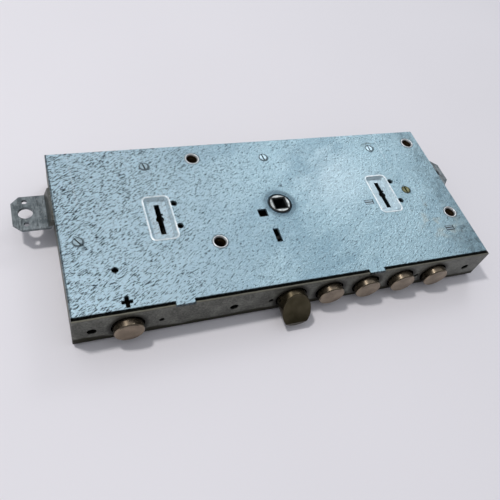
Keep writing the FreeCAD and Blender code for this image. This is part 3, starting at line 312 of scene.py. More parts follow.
# %% Places
tray_low, tray_high = [[float(v) for v in corner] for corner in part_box("case_tray")]
LEFT, FRONT, TOP = tray_low[0], tray_low[1], tray_high[2]
SEAM = FRONT + 2.8 * MM
CUP_X, CUP_Y, CUP_FLOOR = 84.5 * MM, -1.0 * MM, TOP - 2.2 * MM
CUP_HALF_X, CUP_HALF_Y, CUP_CORNER = 8.25 * MM, 17.0 * MM, 3.0 * MM
TAB_SPOTS = (LEFT + 64.4 * MM, LEFT + 195.8 * MM)
TAB_HALF = 6.0 * MM
TENON_SPOTS = ((68.8 * MM, -7.8 * MM), (122.8 * MM, -39.3 * MM))
TENON_HALF_X, TENON_HALF_Y = 3.2 * MM, 1.7 * MM


def split_at_gaps(places, axis, gap):
    """Groups of points with no empty stretch longer than gap between them along one axis."""
    ordered = places[np.argsort(places[:, axis], kind="stable")]
    return np.split(ordered, np.flatnonzero(np.diff(ordered[:, axis]) > gap) + 1)


def separate_parts(node, gap=8 * MM):
    """The middle of each separate solid of a CAD node, split where its points leave a gap in x, then in y."""
    mesh = frame["nodes"][node].data
    flat = np.empty(len(mesh.vertices) * 3)
    mesh.vertices.foreach_get("co", flat)
    parts = [part for column in split_at_gaps(flat.reshape(-1, 3), 0, gap)
             for part in split_at_gaps(column, 1, gap)]
    return [[float(v) for v in (part.min(0) + part.max(0)) / 2] for part in parts]


SCREW_SPOTS = separate_parts("cover_screws") + separate_parts("lever_pack_screw")
BUSH_SPOTS = separate_parts("mounting_bushes")
print("screws", len(SCREW_SPOTS), "bushes", len(BUSH_SPOTS))


# %% Masks
def near(finish, centre, reach, soft):
    """1 within reach of a point of the cover, fading to 0 over the soft distance."""
    return finish.step(finish.away(centre), reach, reach + soft, 1.0, 0.0)


def scratch(finish, start, end, width):
    """1 along a thin straight line between two points of the cover, broken up by noise."""
    middle = ((start[0] + end[0]) / 2, (start[1] + end[1]) / 2, 0)
    run = math.hypot(end[0] - start[0], end[1] - start[1])
    angle = math.degrees(math.atan2(end[1] - start[1], end[0] - start[0]))
    local = finish.turned((0, 0, -angle), shift=middle)
    waver = finish.noise(local, 90.0, 2.0) * 0.0008 - 0.0004
    across = finish.math("ABSOLUTE", finish.axis(local, 1) + waver)
    along = finish.math("ABSOLUTE", finish.axis(local, 0))
    broken = finish.step(finish.noise(local, 900.0, 2.0), 0.35, 0.6)
    return (finish.step(across, width * 0.3, width, 1.0, 0.0) * broken
            * finish.step(along, run * 0.42, run * 0.5, 1.0, 0.0))


def outside_box(finish, centre, half_x, half_y):
    """How far a point lies outside an upright rectangle: the larger of its two distances past the sides."""
    past = [finish.math("ABSOLUTE", finish.axis(finish.place, axis) - centre[axis]) - half
            for axis, half in ((0, half_x), (1, half_y))]
    return finish.most(*past)


# %% [markdown]
# ## The cover: passivated zinc
# The cover is sheet steel with a zinc coat and a bluish passivation. The sheet was rolled and stored, so
# it is covered with short dark flecks that all lie one way, over a bumpy, cloudy sheen. A painted picture
# could carry all this, but layers of noise can be tuned one by one and never run out of detail. Broad
# noise makes the clouds, finer noise the bumps and the grain, and two stretched noises make the flecks.
# The flecks are dense at the left end and sparse at the right, so their share follows the place along the
# case. Painted light makes the left end brighter. Then come the marks of use, scratches, grime and dark
# lines, and more painted light and shade: a patch of painted sheen, painted shade round the follower, the
# bushes and the left side, in the holes and key slots, and painted light on the cup floors.

# %% Rolled sheet
COVER_LIGHT = srgb(170, 198, 208)
COVER_MID = srgb(126, 158, 174)
COVER_DARK = srgb(56, 80, 94)
FLECK_TURN = -37.0


def along_flecks(finish, stretch, shift=(0, 0, 0), skew=0.0):
    """Object coordinates turned to the way the flecks lie, and stretched for a pattern."""
    return finish.turned((0, 0, FLECK_TURN + skew), stretch, shift)


def rolled_sheet(finish):
    """The coated sheet before use: colour, clouds, flecks, sheen, painted light at the left end, and its
    bumps' normal.
    """
    east = finish.axis(finish.place, 0)
    north = finish.axis(finish.place, 1)
    # The share of flecks is largest at the left end and smallest from a little right of the middle on.
    fading = finish.step(east - north * 0.35, -0.16, 0.04, 1.0, 0.2)
    clouds = finish.noise(along_flecks(finish, (16, 34, 20)), 1.0, 4.0, 0.55)
    flecks = finish.noise(along_flecks(finish, (260, 1500, 500)), 1.0, 2.0, 0.5, 0.5)
    marks = finish.noise(along_flecks(finish, (420, 1700, 600), (0.3, 0.1, 0), 12), 1.0, 1.5, 0.5, 0.3)
    bumps = finish.noise(along_flecks(finish, (280, 820, 400)), 1.0, 3.0, 0.65, 0.5)
    crowded = finish.noise(along_flecks(finish, (60, 110, 60)), 1.0, 2.0)
    threshold = 0.722 - fading * 0.09 - crowded * 0.08
    dark = finish.most(finish.step(flecks - threshold, -0.005, 0.02),
                       finish.step(marks - threshold, -0.005, 0.02))
    soft_marks = finish.step(flecks, 0.5, 0.66) * fading
    sheen = finish.step(clouds, 0.38, 0.62)
    relief = finish.step(bumps, 0.3, 0.7)
    grain = finish.step(finish.noise(along_flecks(finish, (620, 1100, 600)), 1.0, 2.0), 0.3, 0.7)
    fine = finish.noise(along_flecks(finish, (900, 2600, 900)), 1.0, 2.0)
    colour = finish.mix(sheen * 0.4 + relief * 0.32 + grain * 0.28, COVER_MID, COVER_LIGHT)
    # Painted light: the left end of the cover is made brighter.
    colour = finish.mix(finish.step(east, -0.13, 0.03, 1.0, 0.0) * 0.7, colour, srgb(200, 226, 238))
    colour = finish.mix(soft_marks * 0.28, colour, COVER_DARK)
    colour = finish.mix(dark * (0.6 + fading * 0.4), colour, srgb(14, 34, 48))
    normal = finish.bump(relief * 0.8 + grain * 0.5 + fine * 0.2 - dark * 0.6, 0.0002, 0.7)
    return colour, clouds, dark, sheen, normal


# %% Cover wear
def worn_cover_and_sheen(finish, colour, clouds):
    """A patch of painted sheen, two long scratches, a scuffed patch behind a screw, then grime at the right
    end.
    """
    east = finish.axis(finish.place, 0)
    # Painted sheen: a brighter cloudy patch to the right of the follower.
    sheen_patch = near(finish, (0.048, 0.022, 0), 0.008, 0.042) * finish.step(clouds, 0.34, 0.6)
    colour = finish.mix(sheen_patch * 0.3, colour, srgb(204, 222, 230))
    worn = (scratch(finish, (-0.1345, 0.059, 0), (-0.1335, 0.012, 0), 0.0006)
            + scratch(finish, (0.1025, 0.058, 0), (0.1035, 0.022, 0), 0.0005) * 0.8)
    colour = finish.mix(finish.least(worn, 1.0) * 0.6, colour, srgb(205, 220, 226))
    scuffed = finish.noise(finish.turned((0, 0, 8), (160, 900, 200)), 1.0, 2.0)
    scuffs = near(finish, (0.094, 0.0505, 0), 0.003, 0.005) * finish.step(scuffed, 0.48, 0.6)
    colour = finish.mix(scuffs * 0.6, colour, srgb(98, 112, 112))
    end = finish.step(east + finish.noise(finish.place, 60.0, 4.0) * 0.03, 0.130, 0.156)
    corner = near(finish, (0.138, -0.052, 0), 0.004, 0.03)
    grime = finish.step(finish.noise(finish.place, 180.0, 4.0, 0.6), 0.42, 0.68)
    dirt_and_shade = finish.least(end * 0.6 + corner * 0.5, 1.0) * (0.35 + grime * 0.65)
    colour = finish.mix(dirt_and_shade, colour, srgb(92, 112, 120))
    stain = finish.step(finish.noise(finish.place, 120.0, 3.0), 0.5, 0.66)
    beige = near(finish, (0.118, -0.03, 0), 0.005, 0.022) * stain
    return finish.mix(beige * 0.4, colour, srgb(180, 180, 165)), dirt_and_shade


def dark_rings(finish, uneven):
    """1 in the thin uneven dark line round the follower, each screw, each tenon end and each bush."""
    rings = finish.step(finish.away((0, 0, 0)) + uneven * 0.0004, 0.0088, 0.0094, 1.0, 0.0)
    for x, y, z in SCREW_SPOTS:
        around = finish.away((x + 0.0003, y - 0.0005, z)) + uneven * 0.0010
        rings = rings + finish.step(around, 0.0039, 0.0046, 1.0, 0.0) * 0.85
    for centre in TENON_SPOTS:
        outside = outside_box(finish, centre, TENON_HALF_X, TENON_HALF_Y)
        rings = rings + finish.step(outside + uneven * 0.0004, 0.0004, 0.0008, 1.0, 0.0)
    # The ring just outside each bush's lip is painted shade.
    for centre in BUSH_SPOTS:
        around = finish.away(centre) + uneven * 0.0008
        rings = rings + finish.step(around, 0.0057, 0.0066, 1.0, 0.0) * 0.55
    return finish.least(rings, 1.0)


def seam_and_edge_shade(finish, uneven):
    """1 along the dark seam at the front, where it runs round the two tabs, and nearly 1 along the left side,
    where it is painted shade.
    """
    east = finish.axis(finish.place, 0)
    north = finish.axis(finish.place, 1)
    past_tab = finish.least(*[finish.math("ABSOLUTE", east - x) - TAB_HALF for x in TAB_SPOTS])
    fringe = finish.step(north + uneven * 0.0005, SEAM + 0.0004, SEAM + 0.0010, 1.0, 0.0)
    tab_fringe = finish.step(north, FRONT + 0.0003, FRONT + 0.0006, 1.0, 0.0)
    beside = finish.step(finish.math("ABSOLUTE", past_tab), 0.0002, 0.0006, 1.0, 0.0)
    beside = beside * finish.step(north, SEAM, SEAM + 0.0005, 1.0, 0.0)
    on_tab = finish.step(past_tab, -0.0004, 0.0, 1.0, 0.0)
    seam = fringe * (1 - on_tab) + (tab_fringe + beside) * on_tab
    # Painted shade along the left side of the cover.
    left_edge = finish.step(east + uneven * 0.0004, LEFT + 0.0009, LEFT + 0.0014, 1.0, 0.0)
    return finish.least(seam + left_edge * 0.8, 1.0)


# %% Cover finish
def passivated_zinc():
    """The whole cover: sheet, wear and painted sheen, painted shade round the follower, dark lines, then the
    two pressed key cups.
    """
    finish = Finish("passivated zinc sheet")
    height = finish.axis(finish.place, 2)
    uneven = finish.noise(finish.place, 700.0, 2.0)
    colour, clouds, dark, sheen, normal = rolled_sheet(finish)
    colour, dirt_and_shade = worn_cover_and_sheen(finish, colour, clouds)
    # Painted shade round the follower.
    halo = near(finish, (0, 0, 0), 0.0088, 0.0055)
    colour = finish.mix(halo * 0.65, colour, srgb(62, 88, 104))
    rings = dark_rings(finish, uneven)
    colour = finish.mix(rings * 0.9, colour, srgb(20, 28, 32))
    # The dark seam at the front, and painted shade along the left side.
    seam = seam_and_edge_shade(finish, uneven)
    colour = finish.mix(seam * (0.75 + finish.step(uneven, 0.4, 0.6) * 0.25), colour, srgb(8, 10, 11))
    beside_cup = finish.math("ABSOLUTE", finish.math("ABSOLUTE", finish.axis(finish.place, 0)) - CUP_X)
    along_cup = finish.math("ABSOLUTE", finish.axis(finish.place, 1) - CUP_Y)
    outside_cup = finish.most(
        finish.step(beside_cup, CUP_HALF_X - 0.05 * MM, CUP_HALF_X + 0.75 * MM),
        finish.step(along_cup, CUP_HALF_Y - 0.2 * MM, CUP_HALF_Y + 0.6 * MM))
    # Painted shade darkens the sheet below its top face, on its cut edge and the walls of its holes; a cup's
    # floor gets painted light, and its key slot painted shade.
    edge = finish.step(height, TOP - 1.8 * MM, TOP - 0.4 * MM, 1.0, 0.0)
    colour = finish.mix(edge * outside_cup * 0.75, colour, srgb(56, 62, 66))
    above_floor = finish.step(height, CUP_FLOOR - 0.2 * MM, CUP_FLOOR - 0.1 * MM)
    colour = finish.mix((1 - outside_cup) * above_floor * 0.5, colour, srgb(200, 216, 224))
    colour = finish.mix((1 - outside_cup) * (1 - above_floor) * 0.9, colour, srgb(16, 18, 19))
    rough = 0.36 + dark * 0.2 - sheen * 0.06 + dirt_and_shade * 0.1
    return finish.close(colour, rough, normal, metallic=finish.least(0.6 + seam * 0.4 + rings * 0.4, 1.0))


cover_finish = passivated_zinc()
print("cover", len(cover_finish.node_tree.nodes), "nodes")

# %% [markdown]
# ## The tray: dull, handled steel
# The tray is the same sheet without the blue passivation. Its front plate is grey brown, with grease along
# its lower half and painted shade along the bend at its foot, and dark rings where the bolts rub in and out,
# deepened with painted shade round the holes. Painted shade also darkens the inside behind the front plate.
# A ring could be drawn on an unwrapped map, but the distance from a bolt's axis gives it with no map, and it
# follows the bolt that the frame states.

# %% Bolt places
BOLTS = ("deadbolt_1", "deadbolt_2", "deadbolt_3", "deadbolt_4", "service_deadbolt", "latch_bolt")
BOLT_HEIGHT = 14.0 * MM


def bolt_places():
    """The axis of each bolt, as x and z, and half its width."""
    found = {}
    for name in BOLTS:
        low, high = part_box(name)
        found[name] = ((low[0] + high[0]) / 2, BOLT_HEIGHT, (high[0] - low[0]) / 2)
    return found


print("bolts", sorted(bolt_places()))


# %% Tray finish
def handled_steel():
    """Mottled grey brown sheet: grease and painted shade low on the front, dark rings, painted shade inside,
    a dark seam.
    """
    finish = Finish("handled steel sheet")
    height = finish.axis(finish.place, 2)
    north = finish.axis(finish.place, 1)
    east = finish.axis(finish.place, 0)
    front = finish.step(north, FRONT + 0.5 * MM, FRONT + 2.0 * MM, 1.0, 0.0)
    streaks = finish.noise(finish.turned(stretch=(26, 200, 240)), 1.0, 4.0, 0.6)
    cloudy = finish.noise(finish.place, 95.0, 5.0, 0.6)
    grain = finish.noise(finish.turned(stretch=(700, 900, 2600)), 1.0, 2.0)
    mottle = finish.noise(finish.turned(stretch=(900, 900, 1300)), 1.0, 3.0, 0.7)
    colour = finish.mix(finish.step(cloudy, 0.35, 0.68), srgb(84, 85, 79), srgb(118, 119, 112))
    colour = finish.mix(finish.step(east, -0.02, 0.15) * 0.3, colour, srgb(134, 135, 130))
    colour = finish.mix(finish.step(mottle, 0.48, 0.66) * 0.5, colour, srgb(58, 58, 52))
    colour = finish.mix(finish.step(mottle, 0.36, 0.5, 1.0, 0.0) * 0.25, colour, srgb(160, 160, 152))
    # Grease low on the front, with painted shade along the bend at its foot.
    darkened = finish.step(height + streaks * 0.012, 0.0118, 0.0138, 1.0, 0.0) * front
    colour = finish.mix(darkened * 0.85, colour, srgb(40, 37, 20))
    # Dark rings round the bolts: grease, deepened with painted shade round the holes.
    rings = finish.most(*[
        finish.step(finish.away((x, 0, z), (1, 0, 1)) + cloudy * 0.002,
                    radius + 2.4 * MM, radius + 5.6 * MM, 1.0, 0.0)
        for x, z, radius in bolt_places().values()])
    colour = finish.mix(rings * front * 0.8, colour, srgb(22, 19, 12))
    # Painted shade inside the case, behind the front plate.
    inside = (finish.step(north, FRONT + 0.4 * MM, FRONT + 0.8 * MM)
              * finish.step(height, TOP - 0.8 * MM, TOP - 0.4 * MM, 1.0, 0.0)
              * finish.step(north, FRONT + 4.0 * MM, FRONT + 6.0 * MM, 1.0, 0.0))
    colour = finish.mix(inside * 0.9, colour, srgb(14, 13, 10))
    specks = finish.step(finish.noise(finish.turned((0, 0, 12), (500, 800, 1100)), 1.0, 2.0), 0.6, 0.68)
    colour = finish.mix(specks * 0.35, colour, srgb(46, 46, 44))
    # The front plate's top edge is paler outside, and broken black along the seam with the cover.
    top_edge = finish.step(height, TOP - 0.9 * MM, TOP - 0.4 * MM)
    colour = finish.mix(top_edge * front * 0.8, colour, srgb(98, 96, 84))
    dotted = finish.step(finish.noise(finish.place, 1500.0, 2.0), 0.3, 0.5)
    behind = finish.step(north - cloudy * 0.0006, FRONT + 0.4 * MM, FRONT + 0.8 * MM)
    seam = top_edge * behind * (0.8 + dotted * 0.2)
    colour = finish.mix(seam, colour, srgb(7, 8, 8))
    rough = 0.46 + cloudy * 0.16 + darkened * 0.06 + seam * 0.3
    normal = finish.bump(cloudy + grain * 0.4, 0.0002, 0.5)
    return finish.close(colour, rough, normal,
                        metallic=finish.least(0.6 + (seam + inside + darkened) * 0.4, 1.0))


tray_finish = handled_steel()
print("tray", len(tray_finish.node_tree.nodes), "nodes")

# %% [markdown]
# ## Bolts: satin nickel
# The bolts are turned bars with a thin nickel plate. A lathe leaves fine rings on each nose and along
# each barrel, and use leaves scratches along the axis. The rings are bands of the distance from the
# axis, too fine to model, so they only tilt the light through a bump.


# %% Bolt finish
def satin_nickel(name, x, z, radius, light, dark, oiled=0.0, shade_behind_hole=False):
    """Plated steel between two colours; oiled darkens its lower half, the last flag paints shade on a spot
    behind its nose.
    """
    finish = Finish(name)
    away = finish.away((x, 0, z), (1, 0, 1))
    cloudy = finish.noise(finish.place, 130.0, 3.0, 0.5)
    patches = finish.noise(finish.place, 1500.0, 3.0, 0.6)
    drawn = finish.noise(finish.turned((0, 90, 0), (700, 700, 9000), (x, 0, z)), 1.0, 2.0)
    turning = finish.math("SINE", away * 21000.0 + cloudy * 3.0)
    rim = finish.step(away, radius * 0.88, radius * 0.97)
    colour = finish.mix(finish.step(cloudy, 0.3, 0.7), srgb(*dark), srgb(*light))
    colour = finish.mix(finish.step(patches, 0.62, 0.72) * 0.3, colour, srgb(*(0.5 * v for v in dark)))
    # Painted highlight: a lighter ring near the edge of the nose.
    colour = finish.mix(rim * (0.25 - 0.2 * oiled), colour, srgb(214, 203, 186))
    if oiled:
        low = finish.step(finish.axis(finish.place, 2) + cloudy * 0.003, 0.004, 0.022, 1.0, 0.0)
        colour = finish.mix(low * oiled, colour, srgb(30, 28, 14))
    north = finish.axis(finish.place, 1)
    barrel = finish.step(away, radius * 0.93, radius * 0.97)
    colour = finish.mix(barrel * 0.45, colour, srgb(70, 58, 40))
    # Painted shade on the part of the bolt inside the case.
    inside = finish.step(north + cloudy * 0.002, FRONT + 0.0015, FRONT + 0.0045)
    colour = finish.mix(inside * 0.35, colour, srgb(60, 54, 42))
    rough = 0.24 + cloudy * 0.12 + finish.step(patches, 0.6, 0.72) * 0.12 - barrel * 0.05
    if shade_behind_hole:
        # Painted shade on the spot seen through the plus-shaped hole.
        darkened = near(finish, (x + 0.0004, FRONT + 0.0077, 0), 0.0046, 0.0012)
        colour = finish.mix(darkened * 0.95, colour, srgb(12, 10, 7))
        rough = rough + darkened * 0.3
    normal = finish.bump(turning * 0.2 + drawn * 0.3 + patches * 0.2, 0.00003, 0.5)
    return finish.close(colour, rough, normal, metallic=1.0)


for name, (x, z, radius) in bolt_places().items():
    title = "satin nickel " + name
    if name == "latch_bolt":
        plated = satin_nickel(title, x, z, radius, (110, 102, 82), (92, 85, 66), oiled=0.9)
    else:
        plated = satin_nickel(title, x, z, radius, (146, 131, 112), (118, 104, 87),
                              shade_behind_hole=name == "service_deadbolt")
    paint(frame["nodes"][name], plated)
print("plated", len(BOLTS), "bolts")

# %% [markdown]
# ## Small steel: brackets, rods, screws, pillars and springs
# The rest of the metal differs in colour, in how cloudy it is, and in how much it shines. One recipe with
# a few numbers serves them all: two colours mixed by noise, darker wear in patches, fine drawn grain.


# %% Plain metal finishes
def worked_metal(name, light, dark, rough, metallic=1.0, grain=(500, 500, 500), wear=0.4, relief=0.00012):
    """Metal between two colours, with dark patches by the share of wear and a grain along one axis."""
    finish = Finish(name)
    cloudy = finish.noise(finish.place, 220.0, 4.0, 0.6)
    patches = finish.noise(finish.place, 520.0, 5.0, 0.65)
    drawn = finish.noise(finish.turned(stretch=grain), 1.0, 2.0)
    colour = finish.mix(finish.step(cloudy, 0.3, 0.7), srgb(*dark), srgb(*light))
    spots = finish.step(patches, 0.56, 0.7)
    colour = finish.mix(spots * wear, colour, srgb(*(0.5 * v for v in dark)))
    shine = rough + cloudy * 0.12 - 0.06 + spots * 0.1
    normal = finish.bump(cloudy * 0.5 + drawn * 0.6, relief, 0.5)
    return finish.close(colour, shine, normal, metallic=metallic)


bright_zinc = worked_metal("bright zinc", (206, 206, 200), (150, 150, 146), 0.26,
                           grain=(700, 700, 2000), wear=0.25)
yellow_zinc = worked_metal("yellow zinc", (190, 176, 128), (140, 126, 92), 0.36, 0.9, wear=0.3)
dark_steel = worked_metal("dark screw steel", (118, 122, 112), (70, 74, 66), 0.4, 0.8, wear=0.6)
spring_steel = worked_metal("oiled spring steel", (120, 120, 122), (78, 78, 80), 0.3,
                            grain=(2000, 2000, 2000), wear=0.3)
guard_steel = worked_metal("blackened steel", (58, 58, 60), (32, 32, 34), 0.45, 0.8)
lever_brass = worked_metal("lever brass", (196, 168, 104), (150, 124, 70), 0.32, grain=(1500, 200, 1500))
print("metals", [metal.name for metal in (bright_zinc, yellow_zinc, dark_steel, guard_steel, lever_brass)])


# %% Screw heads
def slotted_screw(name, light, dark, head):
    """Screw heads flush with the cover: painted shade fills the slot, a dark line rings the head, the face is
    rubbed.
    """
    finish = Finish(name)
    cloudy = finish.noise(finish.place, 700.0, 4.0, 0.6)
    colour = finish.mix(finish.step(cloudy, 0.35, 0.65), srgb(*dark), srgb(*light))
    rim = finish.least(*[finish.away(centre) for centre in SCREW_SPOTS])
    ring = finish.step(rim + cloudy * 0.0008, head - 0.0003, head + 0.0002)
    # Painted shade in the slot.
    deep = finish.step(finish.axis(finish.place, 2), TOP - 0.5 * MM, TOP - 0.1 * MM, 1.0, 0.0)
    dirt_and_shade = finish.least(ring * 0.85 + deep, 1.0)
    colour = finish.mix(dirt_and_shade * 0.95, colour, srgb(16, 18, 14))
    normal = finish.bump(cloudy, 0.00015, 0.5)
    return finish.close(colour, 0.32 + dirt_and_shade * 0.3, normal, metallic=0.8 + dirt_and_shade * 0.2)


olive_screw = slotted_screw("olive screw", (128, 128, 92), (74, 76, 52), 3.5 * MM)
zinc_screw = slotted_screw("zinc screw", (186, 208, 217), (148, 170, 180), 3.1 * MM)
paint(frame["nodes"]["lever_pack_screw"], olive_screw)
paint(frame["nodes"]["cover_screws"], zinc_screw)
print("screw finishes", olive_screw.name, "and", zinc_screw.name)


# %% Follower and bracket finishes
def follower_finish():
    """The hub's face is rubbed bright round the square; painted shade darkens its chamfer, its side and the
    square itself.
    """
    finish = Finish("follower steel")
    cloudy = finish.noise(finish.place, 420.0, 4.0, 0.6)
    away = finish.away((0, 0, 0))
    colour = finish.mix(finish.step(cloudy, 0.32, 0.7), srgb(112, 115, 115), srgb(172, 175, 174))
    edge = finish.step(away + cloudy * 0.0004, 0.0071, 0.0075)
    deep = finish.step(finish.axis(finish.place, 2), TOP - 0.8 * MM, TOP, 1.0, 0.0)
    deep = deep * finish.step(away, 0.0100, 0.0120, 1.0, 0.0)
    east = finish.math("ABSOLUTE", finish.axis(finish.place, 0))
    north = finish.math("ABSOLUTE", finish.axis(finish.place, 1))
    lead_in = finish.step(finish.most(east, north) + cloudy * 0.0004, 0.0051, 0.0057, 1.0, 0.0)
    # Painted shade at the hub's rim, on its side below the cover and in the square.
    dirt_and_shade = finish.most(edge, deep, lead_in)
    colour = finish.mix(dirt_and_shade * 0.92, colour, srgb(26, 26, 25))
    turning = finish.math("SINE", away * 9000.0)
    normal = finish.bump(cloudy + turning * 0.15, 0.00012, 0.5)
    return finish.close(colour, 0.28 + dirt_and_shade * 0.25, normal, metallic=0.9)


def bent_zinc():
    """Streaked grey zinc, browner on a bracket's raised web, and paler where it is flush with the cover."""
    finish = Finish("worn zinc bracket")
    cloudy = finish.noise(finish.turned(stretch=(260, 120, 260)), 1.0, 4.0, 0.6)
    streaks = finish.noise(finish.turned(stretch=(900, 150, 900)), 1.0, 3.0, 0.6)
    specks = finish.noise(finish.place, 900.0, 3.0, 0.6)
    colour = finish.mix(finish.step(cloudy, 0.3, 0.7), srgb(92, 100, 103), srgb(138, 146, 149))
    colour = finish.mix(finish.step(streaks, 0.5, 0.68) * 0.7, colour, srgb(50, 54, 56))
    web = finish.step(finish.axis(finish.place, 2), 0.0178, 0.0188)
    colour = finish.mix(web * 0.65, colour, srgb(84, 80, 68))
    flush = finish.step(finish.axis(finish.place, 2), TOP - 0.4 * MM, TOP - 0.2 * MM)
    colour = finish.mix(flush * 0.9, colour, srgb(150, 170, 180))
    colour = finish.mix(finish.step(specks, 0.58, 0.68) * 0.4, colour, srgb(176, 180, 178))
    normal = finish.bump(streaks * 0.7 + cloudy * 0.4, 0.00016, 0.5)
    return finish.close(colour, 0.34 + cloudy * 0.14, normal, metallic=0.85)


# %% Painting the nodes
FINISH_OF_SLOT = {
    "galvanised_cover": cover_finish, "galvanised_case": tray_finish, "zinc_bracket": bent_zinc(),
    "yellow_zinc": yellow_zinc, "bright_steel": bright_zinc, "dark_screw": dark_steel,
    "spring_steel": spring_steel, "hardened_plate": guard_steel, "brass": lever_brass,
    "follower_steel": follower_finish(),
}
SLOT_OF_NODE = {part["node"]: part["material_slot"] for part in frame["record"]["subparts"]}
for name, thing in frame["nodes"].items():
    own_finish = name in ("lever_pack_screw", "cover_screws")
    if SLOT_OF_NODE[name] in FINISH_OF_SLOT and not own_finish:
        paint(thing, FINISH_OF_SLOT[SLOT_OF_NODE[name]])
print("painted", len(frame["nodes"]))

# %% [markdown]
# ## Threaded bushes
# Four bushes clamp the cover: each neck is flared over the sheet into a rounded lip, and inside runs an
# M8 thread. A thread is a helix, so it can't be a plain turned shape. Here the bush is one closed profile
# swept round its axis, and in the bore the radius also follows the height plus the angle, which is what
# makes a screw line.


# %% Bushes
def bush_mesh(name, x, y, floor, under, over, bore, neck, body):
    """A closed profile of radius and height swept round; in the bore, height plus angle makes a wave."""
    pitch, deep, lip_half = 1.25 * MM, 0.42 * MM, 0.45 * MM
    rows, sides = 150, 96
    bore_end = over - 2.1 * MM
    lip = np.linspace(0.0, math.pi, 13)
    lip_radii = neck - lip_half - lip_half * np.cos(lip)
    lip_heights = over - lip_half + lip_half * np.sin(lip)
    outer = np.array([(neck, over - 1.2 * MM), (neck, under), (body, under - 0.05 * MM), (body, floor)])
    radii = np.concatenate([np.full(rows, bore), lip_radii, outer[:, 0]])
    heights = np.concatenate([np.linspace(floor, bore_end, rows), lip_heights, outer[:, 1]])
    threaded = np.arange(len(radii)) < rows
    fade = np.clip((bore_end - heights) / (0.6 * MM), 0, 1) * threaded
    angle = np.linspace(0, 2 * math.pi, sides, endpoint=False)
    wave = np.abs(((heights[:, None] / pitch - angle[None] / (2 * math.pi)) % 1.0) * 2 - 1)
    radius = radii[:, None] - fade[:, None] * deep * (wave - 0.15)
    points = np.stack([x + radius * np.cos(angle), y + radius * np.sin(angle),
                       np.repeat(heights[:, None], sides, axis=1)], axis=-1)
    return grid_mesh(name, points)


low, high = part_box("mounting_bushes")
body_radius = 6.2 * MM
bush_x = (low[0] + body_radius, high[0] - body_radius)
bush_y = (low[1] + body_radius, high[1] - body_radius)
cover_under = TOP - 2.0 * MM


def flared_zinc():
    """Bright on the rolled lip, and dark brown down the bore, which is painted shade."""
    finish = Finish("flared zinc bush")
    cloudy = finish.noise(finish.place, 600.0, 3.0, 0.6)
    rim = finish.least(*[finish.away(centre) for centre in BUSH_SPOTS])
    colour = finish.mix(finish.step(cloudy, 0.3, 0.7), srgb(206, 214, 218), srgb(238, 240, 240))
    # Painted shade down the bore.
    bore = finish.step(rim + cloudy * 0.0004, 0.0038, 0.0043, 1.0, 0.0)
    colour = finish.mix(bore, colour, srgb(74, 60, 44))
    normal = finish.bump(cloudy, 0.0001, 0.4)
    return finish.close(colour, 0.28 + bore * 0.1, normal, metallic=0.55 + bore * 0.4)


threaded_zinc = flared_zinc()
bore_radius, neck_radius = 3.4 * MM, 5.1 * MM
bushes = [bush_mesh("bush_%d_%d" % (i, j), x, y, low[2], cover_under, high[2],
                    bore_radius, neck_radius, body_radius)
          for i, x in enumerate(bush_x) for j, y in enumerate(bush_y)]
bush_piece = piece("threaded_bushes", bushes, threaded_zinc, "case")
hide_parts("mounting_bushes")

# %% [markdown]
# ## The latch spring
# A coil spring behind the latch is squeezed when the latch is drawn in. A moving rigid coil would cut
# through its bracket; here the spring is made as a coil of round wire that rides on the case.


# %% Latch spring
def coil_mesh(name, centre, radius, wire, start, end, turns):
    """A round wire swept along a helix about Y: centre line angle 2 pi turns t, with flat closed ends."""
    steps = int(turns * 40)
    t = np.linspace(0, 1, steps)
    run = np.clip((t * turns - 0.9) / (turns - 1.8), 0, 1)
    along = start + wire + (end - start - 2 * wire) * run
    angle = 2 * math.pi * turns * t
    line = np.stack([centre[0] + radius * np.cos(angle), along, centre[1] + radius * np.sin(angle)], axis=-1)
    ahead = np.gradient(line, axis=0)
    ahead /= np.linalg.norm(ahead, axis=1, keepdims=True)
    out = np.stack([np.cos(angle), np.zeros(steps), np.sin(angle)], axis=-1)
    side = np.cross(ahead, out)
    around = np.linspace(0, 2 * math.pi, 12, endpoint=False)
    # The wire's radius shrinks to nothing at both ends, which closes them.
    swell = np.minimum(1.0, np.minimum(np.arange(steps), np.arange(steps)[::-1]) / 3.0)
    ring = (out[:, None] * np.cos(around)[None, :, None] + side[:, None] * np.sin(around)[None, :, None])
    points = line[:, None] + wire * np.maximum(swell, 1e-4)[:, None, None] * ring
    return grid_mesh(name, points, wrap_rows=False)


low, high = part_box("latch_spring")
coil_radius = (high[0] - low[0]) / 2
wire = 0.5 * MM
middle = ((low[0] + high[0]) / 2, (low[2] + high[2]) / 2)
spring_mesh = coil_mesh("latch_coil", middle, coil_radius - wire, wire, low[1], high[1], 7)
spring = piece("latch_coil_spring", [spring_mesh], spring_steel, "case")
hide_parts("latch_spring")
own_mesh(spring)

# %% [markdown]
# ## Key cups: pressed lips
# Each key slot sits in a cup pressed into the cover, and the press leaves a thin raised bead along the
# cup's lip; its near-white colour is a painted highlight. The bead is a small rounded ridge swept along a
# rounded rectangle.


# %% Cup beads
def rounded_path(centre, half_x, half_y, corner, count=48):
    """Points along a rounded rectangle: four quarter circles joined by straight runs, evenly cut."""
    angles = np.linspace(0, math.pi / 2, count // 4)
    parts = []
    for quarter, (sx, sy) in enumerate(((1, 1), (-1, 1), (-1, -1), (1, -1))):
        turn = angles + quarter * math.pi / 2
        parts.append(np.stack([centre[0] + sx * (half_x - corner) + corner * np.cos(turn),
                               centre[1] + sy * (half_y - corner) + corner * np.sin(turn)], axis=-1))
    return np.concatenate(parts)


